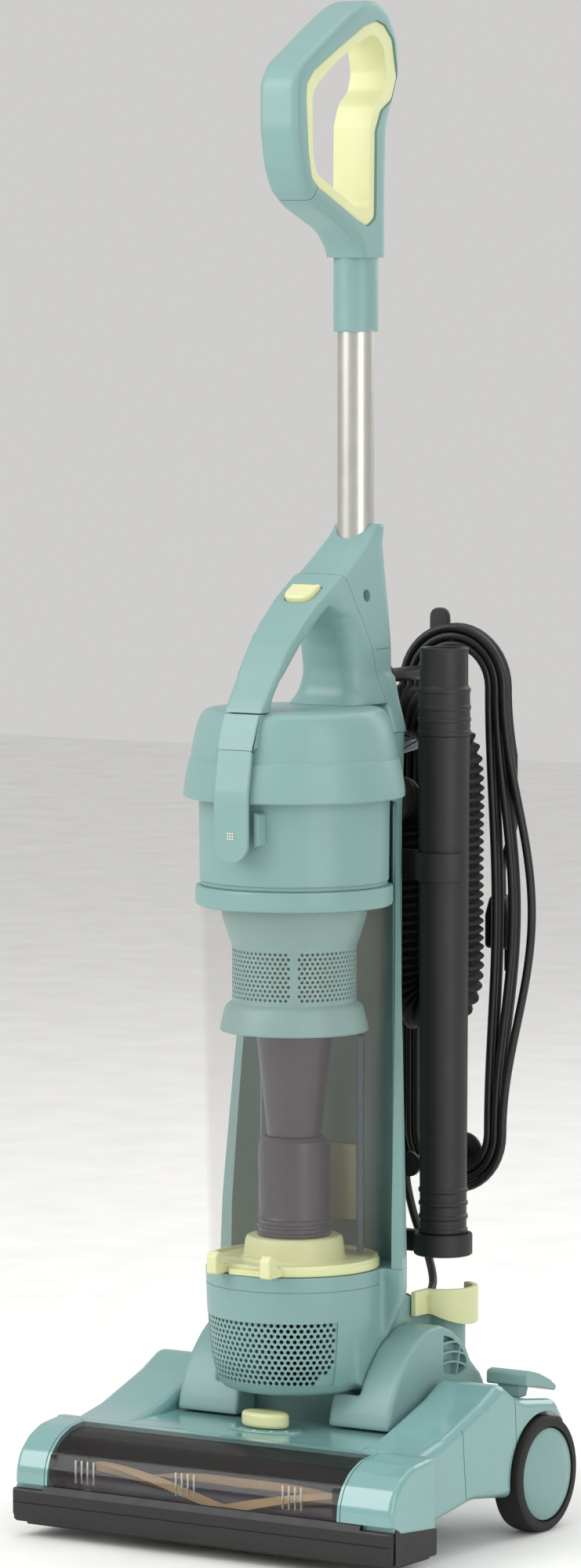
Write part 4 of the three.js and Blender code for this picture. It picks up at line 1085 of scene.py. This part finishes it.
def finish_handle(strap):
    """Cuts the button's pocket and makes the button."""
    lean, middle = 28.7, (0, 6, 657)

    def tilted(piece):
        return turned(piece, lean, "X", middle)
    pocket_line = fillet([(-12.2, -7), (12.2, -7), (12.2, 13), (-12.2, 13)], [10, 10, 2, 2])
    pocket = tilted(slab("pocket", pocket_line, "z", 650, 672, 0))
    combine(strap, [pocket])
    dress(strap, "teal", "cup", "carry_handle", sharp=34)
    button = tilted(slab("button", fillet([(-11.5, -6.4), (11.5, -6.4), (11.5, 12.4), (-11.5, 12.4)],
        [10, 10, 2, 2]), "z", 652.2, 665.2, 2.2, 5))
    dress(button, "yellow", "cup_button", "cup_release_button")


def make_lid_latch():
    outside = [(478.6, 2.8), (520, 3.2), (527, 2.8), (546, -0.6), (555.8, -2.2)]
    inside = [(555.8, -5.2), (546, -3.6), (524, 0), (479, 0)]
    outline = [(LID_FACE - out, z) for z, out in outside + inside]
    tab = slab("tab", fillet(outline, [1.6, 40, 60, 60, 0.1, 0.1, 8, 8, 0.4], steps=12), "x", -14, 14, 1.2, 3)
    ends = slab("tab_keep", [*arc(0, 492.4, 13.7, 180, 360, 32), (14.6, 530), (14.6, 558), (-14.6, 558),
        (-14.6, 530)], "y", -99, -70, 0)
    combine(tab, [ends], "INTERSECT")
    dots = [rod(f"dot_{i}_{j}", 0.7, "y", LID_FACE - 3.4, LID_FACE - 2,
        (1.9 * (i - 1), 497 + 1.9 * (j - 1)), 12) for i in range(3) for j in range(3)]
    dress(tab, "teal", "lid_latch", "lid_latch")
    dress(merged("tab_dots", dots), "pale", "lid_latch")
    band = [(LID_FACE - out, z) for z, out in ((556.1, -2.3), (564, -4.7), (573, -7.6), (580.3, -11.2),
        (580.3, -19), (570, -15), (556.2, -9))]
    front = slab("lid_band", fillet(band, [0.1, 40, 40, 0.6, 1, 10, 0.1], steps=12), "x", -14.6, 14.6, 1.0, 3)
    dress(front, "teal", "cup")
    knuckle = slab("tab_side", fillet([(14.4, 489), (18.4, 491), (18.4, 512), (14.4, 514)], 1.5), "y", -82,
        -72, 0.8, 2)
    dress(knuckle, "teal", "cup")


# ---------- wand, hooks and small fittings ----------
WAND = (62, 90)


def make_wand():
    body = [(13, 190), (15.6, 189.8), (16.5, 191), (16.5, 205.5), (17.4, 206.4), (17.4, 208.4),
        (16.5, 209.3), (16.6, 215), (17.5, 216), (17.5, 218), (16.6, 219), (16.6, 224.6), (17.5, 225.6),
        (17.5, 227.6), (16.6, 228.5), (16.7, 234), (17.6, 235), (17.6, 237), (16.7, 238), (16.9, 320),
        (18.1, 545), (18.3, 557.7), (14.5, 557.7)]
    dress(lathe("wand_lower", body, WAND, sides=96, ring=True), "black", "wand", "wand_body")
    collar = [(14, 558), (18.3, 558), (19, 559), (19, 561.4), (18.4, 562), (18.4, 567.5), (19, 568.2),
        (19, 570.4), (18.4, 571), (18.4, 576), (19, 576.8), (19, 579), (18.4, 579.8), (18.2, 588),
        (18.8, 588.8), (18.8, 591), (17.6, 592.6), (17, 594), (17, 617), (17.3, 617.6), (17.3, 619.4),
        (16.9, 620), (14.6, 620), (14, 619.4)]
    dress(lathe("wand_mouth", collar, WAND, sides=96, ring=True), "black", "wand", "wand_collar")
    holder = lathe("holder", [(17.6, 190), (19.6, 189.6), (20.8, 190.6), (20.8, 204), (20.2, 205),
        (18, 205), (17.4, 204.2)], WAND, sides=96, ring=True)
    combine(holder, [cuboid("holder_lug", 26, 43.4, 88.3, 97, 190, 204.6)], "UNION")
    dress(holder, "black", "upright", "wand_holder")
    plan = arc(*WAND, 20.8, 105, 345, 40) + arc(*WAND, 18.7, 345, 105, 40)
    clip = slab("clip", plan, "z", 456, 476, 0.4, 2)
    combine(clip, [cuboid("clip_lug", 26, 43.4, 88.3, 97, 456.4, 475.6)], "UNION")
    dress(clip, "black", "upright", "wand_clip")


HOOK_ARM = [(0, 88.3), (9, 88.3), (9, 91), (6.4, 93), (5, 97), (5, 164), (0, 164)]
LOW_HOOK = (34, 252)


def make_fittings():
    arm = lathe("hook_arm", HOOK_ARM, (12, 598), "y", 40)
    tab = fillet([(4, 588), (20, 588), (20, 643), (4, 643)], [5, 5, 7.9, 7.9])
    plate = slab("hook_tab", tab, "y", 163.5, 167.5, 1.3, 3)
    dress(merged("swivel_hook", [arm, plate]), "black", "swivel_hook", "upper_cord_hook")
    arm = lathe("low_arm", HOOK_ARM, LOW_HOOK, "y", 40)
    disc = lathe("low_disc", [(0, 163.5), (12.8, 163.5), (14, 164.6), (14, 166.4), (12.6, 167.5),
        (0, 167.5)], LOW_HOOK, "y", 64)
    dress(merged("fixed_hook", [arm, disc]), "black", "upright", "lower_cord_hook")
    saddle = fillet([(88.3, 536), (120, 541), (139.6, 543), (140, 552), (136, 550.2), (110, 550),
        (88.3, 552)], [1, 20, 3, 2, 8, 20, 1])
    dress(slab("saddle", saddle, "x", -8, 11, 1.6, 3), "teal", "upright", "hose_saddle")
    for name, x, z in (("low", -34, 160), ("high", 8, 510)):
        cuff = lathe(f"cuff_{name}", [(0, 88.3), (19.2, 88.3), (19.5, 89), (19.5, 92), (18.7, 92.6),
            (18.7, 94.4), (19.5, 95), (19.5, 99.2), (18.8, 100), (0, 100)], (x, z), "y", 72)
        dress(cuff, "black", "upright", f"hose_cuff_{name}")
    clip = slab("clip_band", [*arc(*WAND, 25, -88, 75, 48), *arc(*WAND, 20.4, 75, -88, 48)], "z", 141, 168,
        1.2, 3)
    slope = slab("slope", [(50, 130), (95, 130), (95, 139), (86, 142.5), (68, 150.4), (50, 150.4)], "y",
        40, 130, 0)
    plate = slab("clip_plate", fillet([(60.5, 49), (65, 49), (65, 70.4), (60.5, 70.4)], 1.2), "z", 150.4,
        168, 1, 3)
    combine(clip, [slope])
    combine(clip, [plate], "UNION")
    combine(clip, [cuboid("notch", 64.2, 70, 60, 65.6, 145, 163.5)])
    dress(clip, "yellow", "upright", "tool_clip", sharp=34)


make_camera()
make_studio()
make_hose()
make_cord()
make_base()
make_brush()
make_belt()
make_wheels()
make_pedals()
make_housing()
make_spine()
make_neck()
make_grip()
make_cup()
make_lid_latch()
make_wand()
make_fittings()
